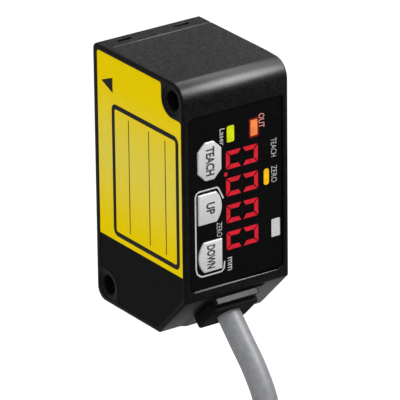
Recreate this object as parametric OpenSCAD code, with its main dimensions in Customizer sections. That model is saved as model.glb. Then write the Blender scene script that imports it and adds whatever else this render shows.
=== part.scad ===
// Compact laser displacement sensor: a cast body with a display, keys and two cross holes, an optical
// front behind a window, and a moulded-on cable with bared leads.
// The origin is midway between the two mounting holes, on the plain mounting side. +Z is up, the beam
// leaves along +Y, the display faces -Y and the label side faces -X.

/* [Body] */
// Width of the body, from the label side to the mounting side
body_w = 20; // [19:0.5:24]
// Depth of the body, from the display face to the optical front
body_d = 25; // [24.5:0.5:30]
// Height of the body
body_h = 44; // [44:0.5:52]
// Thickness of the cast walls
wall = 1.3; // [1.1:0.1:1.5]
// Thickness of the wall behind the display panel
face_wall = 1.6; // [1.5:0.1:1.8]
// Radius of the corner between the top and the display face
crown_r = 3.1; // [2.4:0.1:3.6]
// Radius of the corner between the top and the front
brow_r = 1; // [0.5:0.1:1.2]
// Radius of the corner between the base and the front
toe_r = 2.2; // [1.8:0.1:2.8]
// Leg of the slanted corner that the cable leaves
slant = 7.5; // [7:0.25:8.5]

/* [Mounting holes] */
// Bore of the two cross holes
hole_d = 3.2; // [3:0.1:3.6]
// Distance of each hole from its two nearest faces
hole_inset = 3.1; // [2.9:0.1:3.4]
// Outer diameter of the cast post around each hole
post_d = 5.8; // [5.4:0.1:6.2]
// Diameter of the spot face around each hole on the label side
spot_d = 4.8; // [4.2:0.1:5.2]
// Depth of that spot face
spot_t = 0.15; // [0.1:0.05:0.3]
// Lead-in chamfer of each hole on the label side
hole_break = 0.25; // [0.1:0.05:0.4]

/* [Front cover] */
// Depth of the front cover
cover_d = 4; // [3.6:0.1:4.4]
// Thickness of the label-side cheek that runs past the cover
cheek = 1.2; // [1:0.1:1.4]
// Height of the cast foot in front of the lower hole
foot_h = 7; // [6.5:0.25:8]
// Break of the cover's rear top edge
cover_break = 0.2; // [0.1:0.05:0.4]
// Length of the cover's lip inside the body
lip_l = 1.2; // [1:0.1:1.5]
// Thickness of the lip
lip_t = 0.9; // [0.8:0.1:1.2]
// Thickness of the gasket around the lip
gasket_t = 0.7; // [0.5:0.1:0.9]
// Thickness of the front window
window_t = 1; // [0.8:0.1:1.4]
// Width of the ledge that the window is bonded on
window_ledge = 0.6; // [0.4:0.1:0.8]
// Corner radius of the window
window_r = 1; // [0.6:0.1:1.6]
// Length of the two slots in the top of the cover
slot_l = 2.8; // [2:0.1:3.4]
// Width of the slots
slot_w = 0.9; // [0.6:0.1:1.2]
// Depth of the slots
slot_t = 1; // [0.6:0.1:1.4]
// Distance between the slots' centres
slot_span = 11; // [9:0.5:12]
// Distance of the slots from the front face
slot_back = 2.2; // [1.8:0.1:2.6]

/* [Side label] */
// Thickness of the label
label_t = 0.1; // [0.05:0.05:0.15]
// Depth of the recess for the label
label_recess = 0.15; // [0.1:0.05:0.25]
// Margin from the label to the top, base and slanted edges
label_margin = 0.9; // [0.7:0.1:1.2]
// Margin from the label to the front edge
label_front = 1.2; // [0.8:0.1:1.6]
// Margin from the label to the display edge
label_side = 0.7; // [0.5:0.1:1]
// Radius of the label's cut-outs around the holes
label_hole_r = 2.9; // [2.7:0.1:3.4]
// Corner radius of the label
label_r = 0.5; // [0.2:0.1:0.8]

/* [Display face] */
// Width of the display panel
panel_w = 18.1; // [17.4:0.1:18.2]
// Height of the display panel
panel_h = 29.3; // [29:0.1:29.8]
// Thickness of the display panel
panel_t = 0.5; // [0.4:0.05:0.6]
// Distance from the top of the body to the panel
panel_drop = 5.5; // [5.3:0.1:5.6]
// Depth of the panel's face below the display face
panel_sunk = 0.35; // [0.2:0.05:0.4]
// Height of the slope below the panel
ledge_h = 0.25; // [0.1:0.05:0.3]
// Corner radius of the panel
panel_r = 1; // [0.5:0.1:1.5]
// Height of a digit
digit_h = 6.1; // [5.6:0.1:6.4]
// Width of a digit
digit_w = 3.05; // [2.7:0.05:3.3]
// Pitch of the digits
digit_pitch = 4.56; // [4.3:0.02:4.7]
// Width of a digit's bars
bar_w = 0.75; // [0.5:0.05:0.85]
// Gap at the ends of the bars
bar_gap = 0.18; // [0.12:0.02:0.22]
// Diameter of a decimal point
point_d = 0.7; // [0.5:0.1:0.9]
// Thickness of the display module
module_t = 2.4; // [2.2:0.1:3]
// Height of an indicator lamp's window
lamp_h = 2.75; // [2.2:0.05:3.2]
// Width of the two lamps above the digits
head_lamp_w = 1.4; // [1:0.1:1.8]
// Width of the lamps beside the digits
side_lamp_w = 1; // [0.8:0.1:1.2]

/* [Keys] */
// Width of the keys
key_w = 4.4; // [4:0.1:4.6]
// Height of the teach key
teach_h = 6.4; // [6:0.1:6.8]
// Height of the up and down keys
arrow_h = 5.1; // [4.8:0.1:5.4]
// Corner cut of the teach key
teach_cut = 1.4; // [0.8:0.1:1.6]
// Radius of the bowed side of the up and down keys
bow_r = 3.7; // [3.2:0.1:5]
// Height of the keys above the panel
key_proud = 0.25; // [0.2:0.05:0.3]
// Travel of the keys
key_travel = 0.25; // [0.15:0.05:0.3]
// Clearance around the keys in the panel
key_gap = 0.12; // [0.1:0.02:0.2]
// Width of the rim that keeps a key behind the panel
key_rim = 0.35; // [0.25:0.05:0.4]
// Thickness of that rim
key_rim_t = 0.5; // [0.4:0.05:0.55]
// Side of a tactile switch
switch_w = 3.6; // [3:0.1:4]
// Height of a tactile switch on its board
switch_t = 1.2; // [1.1:0.05:1.4]
// Diameter of a switch's plunger
plunger_d = 1.8; // [1.4:0.1:2.2]

/* [Optics] */
// Distance of the beam below the top of the body
beam_drop = 5.7; // [5.6:0.1:6]
// Distance of the receiver lens below the beam
baseline = 14.8; // [14.4:0.1:15.6]
// Measuring distance from the front that the optics are set for
reach = 100; // [50:5:400]
// Outer diameter of the laser holder
holder_d = 7; // [6.6:0.1:7.2]
// Length of the laser holder
holder_l = 8.6; // [8:0.1:9]
// Diameter of the laser diode's flange
diode_d = 5.6; // [5.2:0.1:5.8]
// Diameter of the collimator lens
collimator_d = 4.8; // [4.2:0.1:5.2]
// Diameter of the receiver lens
lens_d = 8; // [7:0.1:8.4]
// Spherical radius of the lenses
lens_bow = 9; // [7:0.5:14]
// Edge thickness of the lenses
lens_edge = 1; // [0.8:0.1:1.2]
// Angle that the fold mirror leans forward
mirror_tilt = 27; // [25:0.5:29]
// Side of the fold mirror
mirror_w = 7; // [6:0.2:7.4]
// Thickness of the fold mirror
mirror_t = 1; // [0.8:0.1:1.2]
// Distance from the fold mirror to the image sensor
sensor_reach = 11; // [10.4:0.2:11.4]

/* [Boards] */
// Thickness of the circuit boards
board_t = 0.8; // [0.6:0.1:1]
// Diameter of the boards' screws
screw_d = 1.4; // [1.2:0.1:1.6]
// Diameter of their heads
head_d = 2.6; // [2.4:0.1:3]
// Height of their heads
head_t = 0.7; // [0.5:0.1:0.8]

/* [Cable] */
// Diameter of the cable
cable_d = 4; // [3.6:0.1:4.2]
// Width of the gland's plate
gland_w = 9; // [8.2:0.1:9.4]
// Length of the gland's plate along the slant
gland_l = 6.6; // [6.2:0.1:6.8]
// Height of the gland's plate above the pad
gland_t = 1.65; // [1.2:0.05:1.8]
// Diameter of the gland's neck in the wall
neck_d = 5.6; // [5.2:0.1:6]
// Radius of the innermost turn of the coil
coil_turn_r = 18; // [17:0.2:20]
// Spacing of the turns
turn_pitch = 4.1; // [4.1:0.1:4.6]
// Diameter of a bared lead
lead_d = 1.1; // [0.9:0.05:1.2]
// Length of a lead's sleeve
lead_l = 18; // [12:1:30]
// Length of a lead's tinned tip
tip_l = 6; // [4:1:8]

/* [Hidden] */
$fn = 64;

// Overrun of a cut past the face that it opens, and clearance of pieces that are put together
cut = 1;
fit = 0.05;

// Faces of the body, about its middle
xl = -body_w / 2;
xm = body_w / 2;
yd = -body_d / 2;
yf = body_d / 2;
zb = -body_h / 2;
zt = body_h / 2;

// Mounting holes: upper one at the display corner, lower one at the front
holes = [[yd + hole_inset, zt - hole_inset], [yf - hole_inset, zb + hole_inset]];

// Front cover: its seat, the tunnel through it and the lip inside the body
cover_x = xl + cheek;
cover_y = yf - cover_d;
cover_z = zb + foot_h;
lip_in = gasket_t + 2 * fit;
lip_low = [xl + wall + lip_in, cover_z + lip_in];
lip_high = [xm - wall - lip_in, zt - wall - lip_in];
tunnel_low = lip_low + [lip_t, lip_t];
tunnel_high = lip_high - [lip_t, lip_t];
window_sunk = 0.15;

// Display stack, from the panel's face inwards
panel_z = zt - panel_drop - panel_h / 2;
panel_y = yd + panel_sunk;
ledge_w = panel_w - 2 * panel_r;
ledge_z = panel_z - panel_h / 2 - fit;
panel_back = panel_y + panel_t;
face_y = yd + face_wall;
board_y = face_y + module_t;
board_back = board_y + board_t;

// Places on the panel, from its middle
digit_x = 1.35;
digit_row = -0.9;
point_x = digit_x - digit_h / 2 - 0.05;
head_lamp_z = 10.3;
laser_lamp_x = -0.8;
output_lamp_x = 3.65;
side_lamp_x = 6;
teach_lamp_z = 6.3;
zero_lamp_z = 1.4;
mode_lamp_z = -7.7;
key_x = -4.9;
teach_z = 6.75;
up_z = -1.2;
down_z = -9.4;
digits = 4;
bar_rest = 0.2;
bar_lean = 0.5;
head_lamp_r = 0.3;
window_gap = 0.03;
segment_sunk = 0.04;
chip_t = 0.5;

// Openings behind the panel, for the keys and for the digits and lamps
opening_gap = 0.25;
key_low = [key_x - key_w / 2 - key_rim - opening_gap, down_z - arrow_h / 2 - key_rim - opening_gap];
key_high = [key_x + key_w / 2 + key_rim + opening_gap, teach_z + teach_h / 2 + key_rim + opening_gap];
row_h = (digits - 1) * digit_pitch + digit_w;
show_low = [digit_x - digit_h / 2 - 0.9, digit_row - row_h / 2 - 0.6];
show_high = [side_lamp_x + side_lamp_w / 2 + 0.45, head_lamp_z + lamp_h / 2 + 0.4];
module_size = [digit_h + 1.1, row_h + 1.2];

// Keys: rim behind the panel, stem to the plunger, plunger in the switch
key_play = 0.08;
rim_y = panel_back + key_play;
stem_y = rim_y + key_rim_t;
switch_y = board_y - switch_t;
plunger_y = switch_y - 0.35;
plunger_end = switch_y + 0.5;
plunger_hole = plunger_end + key_travel + fit;
stem_d = 1.6;

// Display board and its two posts in the body
board_edge = 2;
board_foot = 1.05;
board_head = 1.15;
post_edge = 1.5;
post_drop = 1.4;
post_rise = 1.6;
board_low = [xl + board_edge, panel_z - panel_h / 2 + board_foot];
board_high = [xm - board_edge, panel_z + panel_h / 2 - board_head];
post_places = [[board_low.x + post_edge, board_high.y - post_drop],
    [board_high.x - post_edge, board_low.y + post_rise]];
board_post_d = 2.6;
screw_gap = 0.1;

// Main board: its plane, edges and the socket that holds its rear edge
main_x = xm - wall - 2.4;
main_low = [board_back + 1.7, zt - 36.4];
main_high = [yf - 5.4, zt - wall - 0.5];
socket_w = 2.4;
socket_l = 10;
socket_z = panel_z;
socket_y = board_back + 2.5;

// Optics: beam height, and the receiver's place and tilt
beam_z = zt - beam_drop;
lens_y = yf - 7.5;
lens_z = beam_z - baseline;
lens_tilt = atan(baseline / (reach + yf - lens_y));
mirror_gap = 5.1;
mirror_y = board_back + mirror_gap;
mirror_back = lens_y - mirror_y;
mirror_z = lens_z - mirror_back * tan(lens_tilt);
sensor_turn = 2 * mirror_tilt + lens_tilt;
sensor_y = mirror_y + sensor_reach * cos(sensor_turn);
sensor_z = mirror_z - sensor_reach * sin(sensor_turn);
sensor_l = 6.6;
chip_l = 3;
sensor_t = 1;

// Chassis: its plate, the laser block, the lens block and the ears on the body's ribs
rib_t = 2.5;
rib_h = 4;
plate_t = 1.5;
plate_x = xl + wall + rib_t;
plate_in = plate_x + plate_t;
seat_x = plate_x + plate_t / 2;
plate_gap = 2.2;
plate_drop = 36;
plate_low = [board_back + plate_gap, zt - plate_drop];
plate_high = [yf - 6, zt - wall - 0.3];
sensor_gap = 0.5;
chip_edge = 0.5;
sensor_w = -2 * (plate_in + sensor_gap);
chip_w = sensor_w - 2 * chip_edge;
block_drop = 4.1;
block_w = 4.6;
block_y = [yf - 15.9, yf - 7.3];
lens_block_w = 5;
lens_block_y = [-1.7, 1.9];
lens_block_h = 10.8;
lens_sunk = 0.7;
ear_y = yf - 8.3;
ear_t = 1.4;
rib_places = [zt - 12.5, zt - 29];
ear_head_d = 2.4;
ear_x = plate_x - ear_head_d / 2 - screw_gap;
ear_screw_l = 5.5;
pillar_d = 2.8;
pillars = [[block_w, yf - 11.5, beam_z], [lens_block_w, lens_y, lens_z - 3.8]];

// Cable, from the middle of the slant outwards
slant_half = slant * sqrt(2) / 2;
pad_w = 9.8;
pad_flare = 1;
pad_t = 0.25;
pad_top = slant_half - 0.6;
ridge_w = 8.4;
ridge_t = 1.2;
ridge_r = 0.4;
ridge_set = 0.1;
gland_bore = cable_d + 0.1;
gland_r = 1;
clamp_in = 3.1;
clamp_h = 1.8;
clamp_t = 0.9;
clamp_gap = 0.3;
core_d = 0.55;
core_ring = 1.1;
cores = 5;
core_turns = [90, 18, 162, 306, 234];
core_pitch = 0.8;
core_edge = 0.7;
core_gap = 0.25;
connector_low = [main_x - 1.7, board_back + 2, zb + 8];
connector_size = [1.7, 4.6, 4];
cable_exit = [-body_w / 2, yd + slant / 2, zb + slant / 2];
cable_run = [[0, 3, 3], [0, -2, -2], [0, -5.25, -5.25], [0, -8.25, -8.25], [-0.2, -11.45, -12.35],
    [-0.7, -13.45, -17.15], [-1.6, -14.15, -22.35], [-3.2, -13.05, -28.85], [-5, -9.95, -34.65],
    [-7, -5.25, -39.05], [-8.3, -0.45, -43.45], [-8.6, 2.65, -49.25], [-8.6, 3.75, -55.75],
    [-8.6, 3.75, -62.75], [-8.6, 3.75, -69.75], [-7.8, 2.05, -77.35], [-6.4, -2.65, -83.55]];
cable_tail_run = [[-0.4, 7.15, -48.35], [-0.4, 12.75, -54.75], [-0.4, 16.85, -61.95], [-0.4, 19.35, -69.15],
    [-0.4, 20.15, -76.25]];
cable_route = [for (p = cable_run) cable_exit + p];
cable_tail_route = [for (p = cable_tail_run) cable_exit + p];
cable_sides = 12;
coil_place = cable_exit + [1.6, -14.25, -69.75];
coil_columns = 4;
coil_layers = 3;
coil_outer_columns = 2;
coil_r = [coil_turn_r - turn_pitch / 2, coil_turn_r + (coil_layers - 0.5) * turn_pitch];
tie_angles = [-20, 200];
tie_t = 0.8;
tie_w = 2.5;
tie_gap = 0.2;
tie_head = [4, 3.2, 2.4];
lead_splay = 5;
lead_gap = 0.3;
tip_d = 0.7;

// Shapes used by several pieces

// Puts the body's middle at its place beside the mounting plane
module in_frame() translate([-body_w / 2, 0, 0]) children();

// Extrudes a side outline (Y, Z) along X
module along_x(x0, x1) translate([x0, 0, 0]) rotate([90, 0, 90]) linear_extrude(x1 - x0) children();

// Extrudes a face outline (X, Z) along Y
module along_y(y0, y1) translate([0, y1, 0]) rotate([90, 0, 0]) linear_extrude(y1 - y0) children();

// Box between two corners
module block(low, high) translate(low) cube(high - low);

// Rectangle between two corners
module field(low, high) translate(low) square(high - low);

// Rectangle about the origin with round corners
module round_field(size, r) {
    square([size.x - 2 * r, size.y], center = true);
    square([size.x, size.y - 2 * r], center = true);
    for (sx = [-1, 1], sy = [-1, 1])
        translate([sx * (size.x / 2 - r), sy * (size.y / 2 - r)]) circle(r);
}

// What a round corner takes off a square one; side points out of the corner
module corner_waste(corner, r, side) {
    if (r > 0)
        difference() {
            translate(corner + side * (cut - r) / 2) square(r + cut, center = true);
            translate(corner - r * side) circle(r);
        }
}

// Side of the slanted corner that is cut away
module slant_waste(inset) {
    line = yd + zb + slant + inset * sqrt(2);
    low = [yd - cut, zb - cut];
    polygon([low, [line - low.y, low.y], [low.x, line - low.x]]);
}

// Side outline of the body, drawn in by the inset
module side_profile(inset = 0) {
    difference() {
        field([yd + inset, zb + inset], [yf - inset, zt - inset]);
        corner_waste([yd + inset, zt - inset], crown_r - inset, [-1, 1]);
        corner_waste([yf - inset, zt - inset], brow_r - inset, [1, 1]);
        corner_waste([yf - inset, zb + inset], toe_r - inset, [1, -1]);
        slant_waste(inset);
    }
}

// Frame on the slanted corner: x along the body's width, y up the slope, z out of it
module at_slant() translate([0, yd + slant / 2, zb + slant / 2]) rotate([135, 0, 0]) children();

// Frame of the receiver lens, with y along its axis
module at_lens() translate([0, lens_y, lens_z]) rotate([lens_tilt, 0, 0]) children();

// Frame of the fold mirror, with y out of its face
module at_mirror() translate([0, mirror_y, mirror_z]) rotate([-mirror_tilt, 0, 0]) children();

// Frame of the image sensor, with y out of its face
module at_sensor() translate([0, sensor_y, sensor_z]) rotate([180 - sensor_turn, 0, 0]) children();

// Rods along X and Y
module rod_x(x0, x1, d) translate([x0, 0, 0]) rotate([0, 90, 0]) cylinder(d = d, h = x1 - x0);
module rod_y(y0, y1, d) translate([0, y1, 0]) rotate([90, 0, 0]) cylinder(d = d, h = y1 - y0);

// Rod between two points
module rod(a, b, d) {
    run = b - a;
    translate(a)
        rotate([0, acos(run.z / norm(run)), atan2(run.y, run.x)])
            cylinder(d = d, h = norm(run));
}

// Screw along -Y with its head's seat at the origin
module screw_y(shank_d, shank_l, top_d, top_t) {
    rod_y(-shank_l, 0, shank_d);
    difference() {
        rod_y(0, top_t, top_d);
        along_y(top_t * 0.4, top_t + cut) circle(d = top_d * 0.5, $fn = 6);
    }
}

// Body

// Post, foot, ribs and board posts that the cavity leaves standing
module case_inner_posts() {
    for (p = holes)
        translate([0, p.x, p.y]) rod_x(xl, xm, post_d);
    block([xl, cover_y - wall, zb], [xm, yf, cover_z]);
    for (z = rib_places)
        block([xl, block_y[0], z - rib_h / 2], [plate_x, ear_y, z + rib_h / 2]);
    for (p = post_places)
        translate([p.x, 0, p.y]) rod_y(yd, board_y, board_post_d);
}

module case_cavity() {
    difference() {
        along_x(xl + wall, xm - wall) side_profile(wall);
        block([xl, yd, zb], [xm, face_y, zt]);
        case_inner_posts();
    }
}

module mounting_holes() {
    for (p = holes)
        translate([0, p.x, p.y]) {
            rod_x(xl - cut, xm + cut, hole_d);
            rod_x(xl - cut, xl + spot_t, spot_d);
            translate([xl + spot_t, 0, 0])
                rotate([0, 90, 0])
                    cylinder(d1 = hole_d + 2 * hole_break, d2 = hole_d, h = hole_break);
        }
}

// Raised pad on the slant, with sloped sides
module slant_pad() {
    flare = pad_w / 2 + pad_flare;
    translate([0, pad_top, 0])
        rotate([90, 0, 0])
            linear_extrude(pad_top + slant_half)
                polygon([[-flare, -wall / 2], [-flare, 0], [-pad_w / 2, pad_t], [pad_w / 2, pad_t],
                    [flare, 0], [flare, -wall / 2]]);
}

// Guard ridge above the gland, with a square upper face and round corners
module slant_ridge() {
    low = gland_l / 2 + 0.3;
    high = pad_top - ridge_set;
    translate([0, (low + high) / 2, 0])
        linear_extrude(ridge_t) round_field([ridge_w, high - low], ridge_r);
}

module face_opening() {
    field(key_low, key_high);
    field(show_low, show_high);
}

// Slope that runs down from the lower edge of the display panel to the face
module panel_ledge() {
    foot = ledge_z - ledge_h;
    polygon([[yd - cut, foot], [yd, foot], [panel_y, ledge_z], [panel_y, ledge_z + cut],
        [yd - cut, ledge_z + cut]]);
}

module case() {
    color("#2b2b2c")
        in_frame()
            difference() {
                union() {
                    along_x(xl, xm) side_profile();
                    at_slant() slant_pad();
                    at_slant() slant_ridge();
                }
                case_cavity();
                block([cover_x, cover_y, cover_z], [xm + cut, yf + cut, zt + cut]);
                along_y(yd - cut, panel_back)
                    translate([0, panel_z])
                        round_field([panel_w, panel_h] + [2 * fit, 2 * fit], panel_r);
                along_x(-ledge_w / 2, ledge_w / 2) panel_ledge();
                along_y(yd, face_y + cut) translate([0, panel_z]) face_opening();
                along_x(xl - cut, xl + label_recess) label_outline(fit);
                mounting_holes();
                at_slant() translate([0, 0, -4]) cylinder(d = neck_d + 2 * fit, h = 8);
                for (p = post_places)
                    translate([p.x, 0, p.y]) rod_y(face_y, board_y + cut, screw_d);
                for (z = rib_places)
                    translate([ear_x, 0, z]) rod_y(ear_y - ear_screw_l, ear_y + cut, screw_d);
            }
}

// Label sheet, with its corners cut clear of the two holes
module label_outline(grow = 0) {
    low = [yd + label_side - grow, zb + label_margin - grow];
    high = [yf - label_front + grow, zt - label_margin + grow];
    bite = label_hole_r - grow;
    difference() {
        field(low, high);
        corner_waste([high.x, high.y], label_r, [1, 1]);
        slant_waste(label_margin - grow);
        for (i = [0, 1]) {
            out = i == 0 ? [-1, 1] : [1, -1];
            translate(holes[i]) {
                circle(bite);
                translate(out * 4) square([8, 8 + 2 * bite], center = true);
                translate(out * 4) square([8 + 2 * bite, 8], center = true);
            }
            corner_waste([i == 0 ? low.x : high.x, holes[i].y - out.y * bite], label_r, out);
            corner_waste([holes[i].x - out.x * bite, i == 0 ? high.y : low.y], label_r, out);
        }
    }
}

module side_label() {
    color("#e8cf1a")
        in_frame()
            along_x(xl + label_recess - label_t, xl + label_recess) label_outline();
}

// Front cover

module cover_block() {
    intersection() {
        along_x(cover_x + fit, xm) side_profile();
        block([cover_x, cover_y, cover_z + fit], [xm, yf, zt]);
    }
}

module front_cover() {
    color("#242425")
        in_frame()
            difference() {
                union() {
                    cover_block();
                    along_y(cover_y - lip_l, cover_y) field(lip_low, lip_high);
                }
                along_y(cover_y - lip_l - cut, yf + cut) field(tunnel_low, tunnel_high);
                along_y(yf - window_sunk - window_t, yf + cut) window_outline(fit);
                for (side = [-1, 1])
                    block([side * slot_span / 2 - slot_l / 2, yf - slot_back - slot_w / 2, zt - slot_t],
                        [side * slot_span / 2 + slot_l / 2, yf - slot_back + slot_w / 2, zt + cut]);
                translate([xl, cover_y, zt])
                    rotate([45, 0, 0])
                        cube([2 * body_w, sqrt(2) * cover_break, sqrt(2) * cover_break], center = true);
            }
}

module front_gasket() {
    color("#1b1b1c")
        in_frame()
            along_y(cover_y - lip_l, cover_y)
                difference() {
                    field([xl + wall + fit, cover_z + fit], [xm - wall - fit, zt - wall - fit]);
                    field(lip_low - [fit, fit], lip_high + [fit, fit]);
                }
}

module window_outline(grow = 0) {
    size = tunnel_high - tunnel_low + 2 * (window_ledge + grow) * [1, 1];
    translate((tunnel_low + tunnel_high) / 2) round_field(size, window_r + grow);
}

module front_window() {
    color("#3a1416")
        in_frame()
            along_y(yf - window_sunk - window_t, yf - window_sunk) window_outline();
}

// Display face

// Shift of a bar's 45 degree end along its length
function mitre(grow) = bar_gap / sqrt(2) - grow * sqrt(2);

// Middle bar of a digit, pointed at both ends
module middle_bar(grow) {
    tip = bar_w / 2 + grow;
    end = (digit_w - bar_w - bar_gap) / 2 + grow;
    polygon([[-end, 0], [tip - end, tip], [end - tip, tip], [end, 0], [end - tip, -tip],
        [tip - end, -tip]]);
}

// Bar across the head (way 1) or the foot (way -1) of a digit, mitred at both ends
module end_bar(way, grow) {
    outer = [digit_w / 2 + grow - mitre(grow), digit_h / 2 + grow];
    inner = outer - (bar_w + 2 * grow) * [1, 1];
    polygon([[-outer.x, way * outer.y], [outer.x, way * outer.y], [inner.x, way * inner.y],
        [-inner.x, way * inner.y]]);
}

// Bar along one quarter of a digit's sides, mitred at the end and slanted towards the middle
module side_bar(side, way, grow) {
    outer = digit_w / 2 + grow;
    inner = outer - bar_w - 2 * grow;
    rise = (digit_h - digit_w) / 2 - mitre(grow);
    lean = bar_lean / bar_w;
    foot = bar_rest - grow * (lean + sqrt(1 + lean * lean));
    polygon([[side * outer, way * (outer + rise)], [side * inner, way * (inner + rise)],
        [side * inner, way * (foot + (bar_w + 2 * grow) * lean)], [side * outer, way * foot]]);
}

// Places of the four digits, which read down the panel
module at_digits() {
    for (i = [0:digits - 1])
        translate([digit_x, digit_row + ((digits - 1) / 2 - i) * digit_pitch]) rotate(-90) children();
}

module edge_bars(grow = 0) {
    at_digits()
        for (way = [-1, 1]) {
            end_bar(way, grow);
            for (side = [-1, 1])
                side_bar(side, way, grow);
        }
}

module middle_bars(grow = 0) at_digits() middle_bar(grow);

// Decimal points after the chosen digits
module digit_row_points(chosen, grow = 0) {
    for (i = chosen)
        translate([point_x, digit_row + (digits / 2 - 1 - i) * digit_pitch]) circle(d = point_d + 2 * grow);
}

module head_lamp(x, grow = 0)
    translate([x, head_lamp_z]) round_field([head_lamp_w, lamp_h] + 2 * grow * [1, 1], head_lamp_r + grow);

module side_lamp(z, grow = 0)
    translate([side_lamp_x, z])
        round_field([side_lamp_w, lamp_h] + 2 * grow * [1, 1], side_lamp_w / 2 - fit + grow);

// Teach key: a field with its corners cut at 45 degrees
module teach_outline(grow = 0) {
    half = [key_w, teach_h] / 2 + grow * [1, 1];
    flat = half - (teach_cut + grow * (2 - sqrt(2))) * [1, 1];
    translate([key_x, teach_z])
        polygon([[-half.x, -flat.y], [-half.x, flat.y], [-flat.x, half.y], [flat.x, half.y],
            [half.x, flat.y], [half.x, -flat.y], [flat.x, -half.y], [-flat.x, -half.y]]);
}

// Up and down keys: bowed on one side only
module arrow_outline(z, way, grow = 0)
    translate([key_x, z])
        intersection() {
            square([key_w, arrow_h] + 2 * grow * [1, 1], center = true);
            translate([way * (key_w / 2 - bow_r), 0]) circle(bow_r + grow);
        }

module display_panel() {
    color("#0b0b0c")
        in_frame()
            along_y(panel_y, panel_back)
                translate([0, panel_z])
                    difference() {
                        round_field([panel_w, panel_h], panel_r);
                        teach_outline(key_gap);
                        arrow_outline(up_z, 1, key_gap);
                        arrow_outline(down_z, -1, key_gap);
                        edge_bars(window_gap);
                        middle_bars(window_gap);
                        digit_row_points([0:digits - 2], window_gap);
                        for (x = [laser_lamp_x, output_lamp_x])
                            head_lamp(x, window_gap);
                        for (z = [teach_lamp_z, zero_lamp_z, mode_lamp_z])
                            side_lamp(z, window_gap);
                    }
}

module digit_display() {
    color("#191919")
        in_frame()
            along_y(face_y, board_y)
                translate([digit_x, panel_z + digit_row])
                    square(module_size, center = true);
}

// Light guide from a depth to just below the panel's face
module light_guide(depth)
    along_y(panel_y + segment_sunk, depth) translate([0, panel_z]) children();

module lit_segments() {
    color("#ff3038")
        in_frame()
            light_guide(face_y) {
                edge_bars();
                digit_row_points([0]);
            }
}

module dark_segments() {
    color("#2a1012")
        in_frame()
            light_guide(face_y) {
                middle_bars();
                digit_row_points([1:digits - 2]);
            }
}

module laser_lamp() color("#b8f03c") in_frame() light_guide(board_y - chip_t) head_lamp(laser_lamp_x);
module output_lamp() color("#ff6a4a") in_frame() light_guide(board_y - chip_t) head_lamp(output_lamp_x);
module teach_lamp() color("#241c14") in_frame() light_guide(board_y - chip_t) side_lamp(teach_lamp_z);
module zero_lamp() color("#ffb52e") in_frame() light_guide(board_y - chip_t) side_lamp(zero_lamp_z);
module mode_lamp() color("#241c14") in_frame() light_guide(board_y - chip_t) side_lamp(mode_lamp_z);

// Lamp chips on the display board, one behind each light guide
module lamp_chips() {
    places = [[laser_lamp_x, head_lamp_z], [output_lamp_x, head_lamp_z], [side_lamp_x, teach_lamp_z],
        [side_lamp_x, zero_lamp_z], [side_lamp_x, mode_lamp_z]];
    color("#f2ecd8")
        in_frame()
            along_y(board_y - chip_t, board_y)
                for (p = places)
                    translate([p.x, panel_z + p.y]) square([0.8, 1.6], center = true);
}

// Keys

// Key of a given outline: cap through the panel, rim behind it and stem to its plunger
module key(z, height) {
    color("#c9c9cb")
        in_frame() {
            along_y(panel_y - key_proud, rim_y) translate([0, panel_z]) children();
            along_y(rim_y, stem_y)
                translate([key_x, panel_z + z])
                    square([key_w, height] + 2 * key_rim * [1, 1], center = true);
            translate([key_x, 0, panel_z + z]) rod_y(stem_y, plunger_y, stem_d);
        }
}

module teach_key() key(teach_z, teach_h) teach_outline();
module up_key() key(up_z, arrow_h) arrow_outline(up_z, 1);
module down_key() key(down_z, arrow_h) arrow_outline(down_z, -1);

module plunger(z)
    color("#3b3b3d")
        in_frame()
            translate([key_x, 0, panel_z + z]) rod_y(plunger_y, plunger_end, plunger_d);

module teach_plunger() plunger(teach_z);
module up_plunger() plunger(up_z);
module down_plunger() plunger(down_z);

module key_switches() {
    color("#6d6d70")
        in_frame()
            for (z = [teach_z, up_z, down_z])
                translate([key_x, 0, panel_z + z])
                    difference() {
                        along_y(switch_y, board_y) square(switch_w, center = true);
                        rod_y(switch_y - cut, plunger_hole, plunger_d + 2 * key_gap);
                    }
}

// Boards

// Display board, cut clear of the cable clamp where a short body brings them together
module display_board() {
    color("#1f5a35")
        in_frame()
            difference() {
                along_y(board_y, board_back)
                    difference() {
                        field(board_low, board_high);
                        for (p = post_places)
                            translate(p) circle(d = screw_d + 2 * screw_gap);
                    }
                clamp_room(clamp_gap);
            }
}

module display_screws() {
    color("silver")
        in_frame()
            for (p = post_places)
                translate([p.x, board_back, p.y])
                    screw_y(screw_d, board_t + module_t - 0.4, head_d, head_t);
}

// Socket on the display board that takes the main board's rear edge
module board_socket() {
    middle = main_x + board_t / 2;
    color("#d8d2c0")
        in_frame()
            difference() {
                block([middle - socket_w / 2, board_back, socket_z - socket_l / 2],
                    [middle + socket_w / 2, socket_y, socket_z + socket_l / 2]);
                block([main_x - fit, main_low.x - 0.2, socket_z - socket_l],
                    [main_x + board_t + fit, socket_y + cut, socket_z + socket_l]);
            }
}

module main_board() {
    color("#1f5a35")
        in_frame()
            along_x(main_x, main_x + board_t)
                difference() {
                    field(main_low, main_high);
                    for (p = pillars)
                        translate([p.y, p.z]) circle(d = screw_d + 2 * screw_gap);
                }
}

// Chips on the main board's outer face: processor, converter, memory and supply
module board_chips() {
    rear = main_low.x;
    span = pillars[1].y - rear;
    chips = [[rear + 6.7, 4.5, 6, 6], [rear + 0.3 * span, -4.5, 2.8, 4], [rear + 0.62 * span, -4.5, 2.4, 3],
        [rear + 6.5, -10.5, 5, 3]];
    color("#151517")
        in_frame()
            along_x(main_x + board_t, main_x + board_t + 0.9)
                for (c = chips)
                    translate([c[0], panel_z + c[1]]) square([c[2], c[3]], center = true);
}

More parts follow.
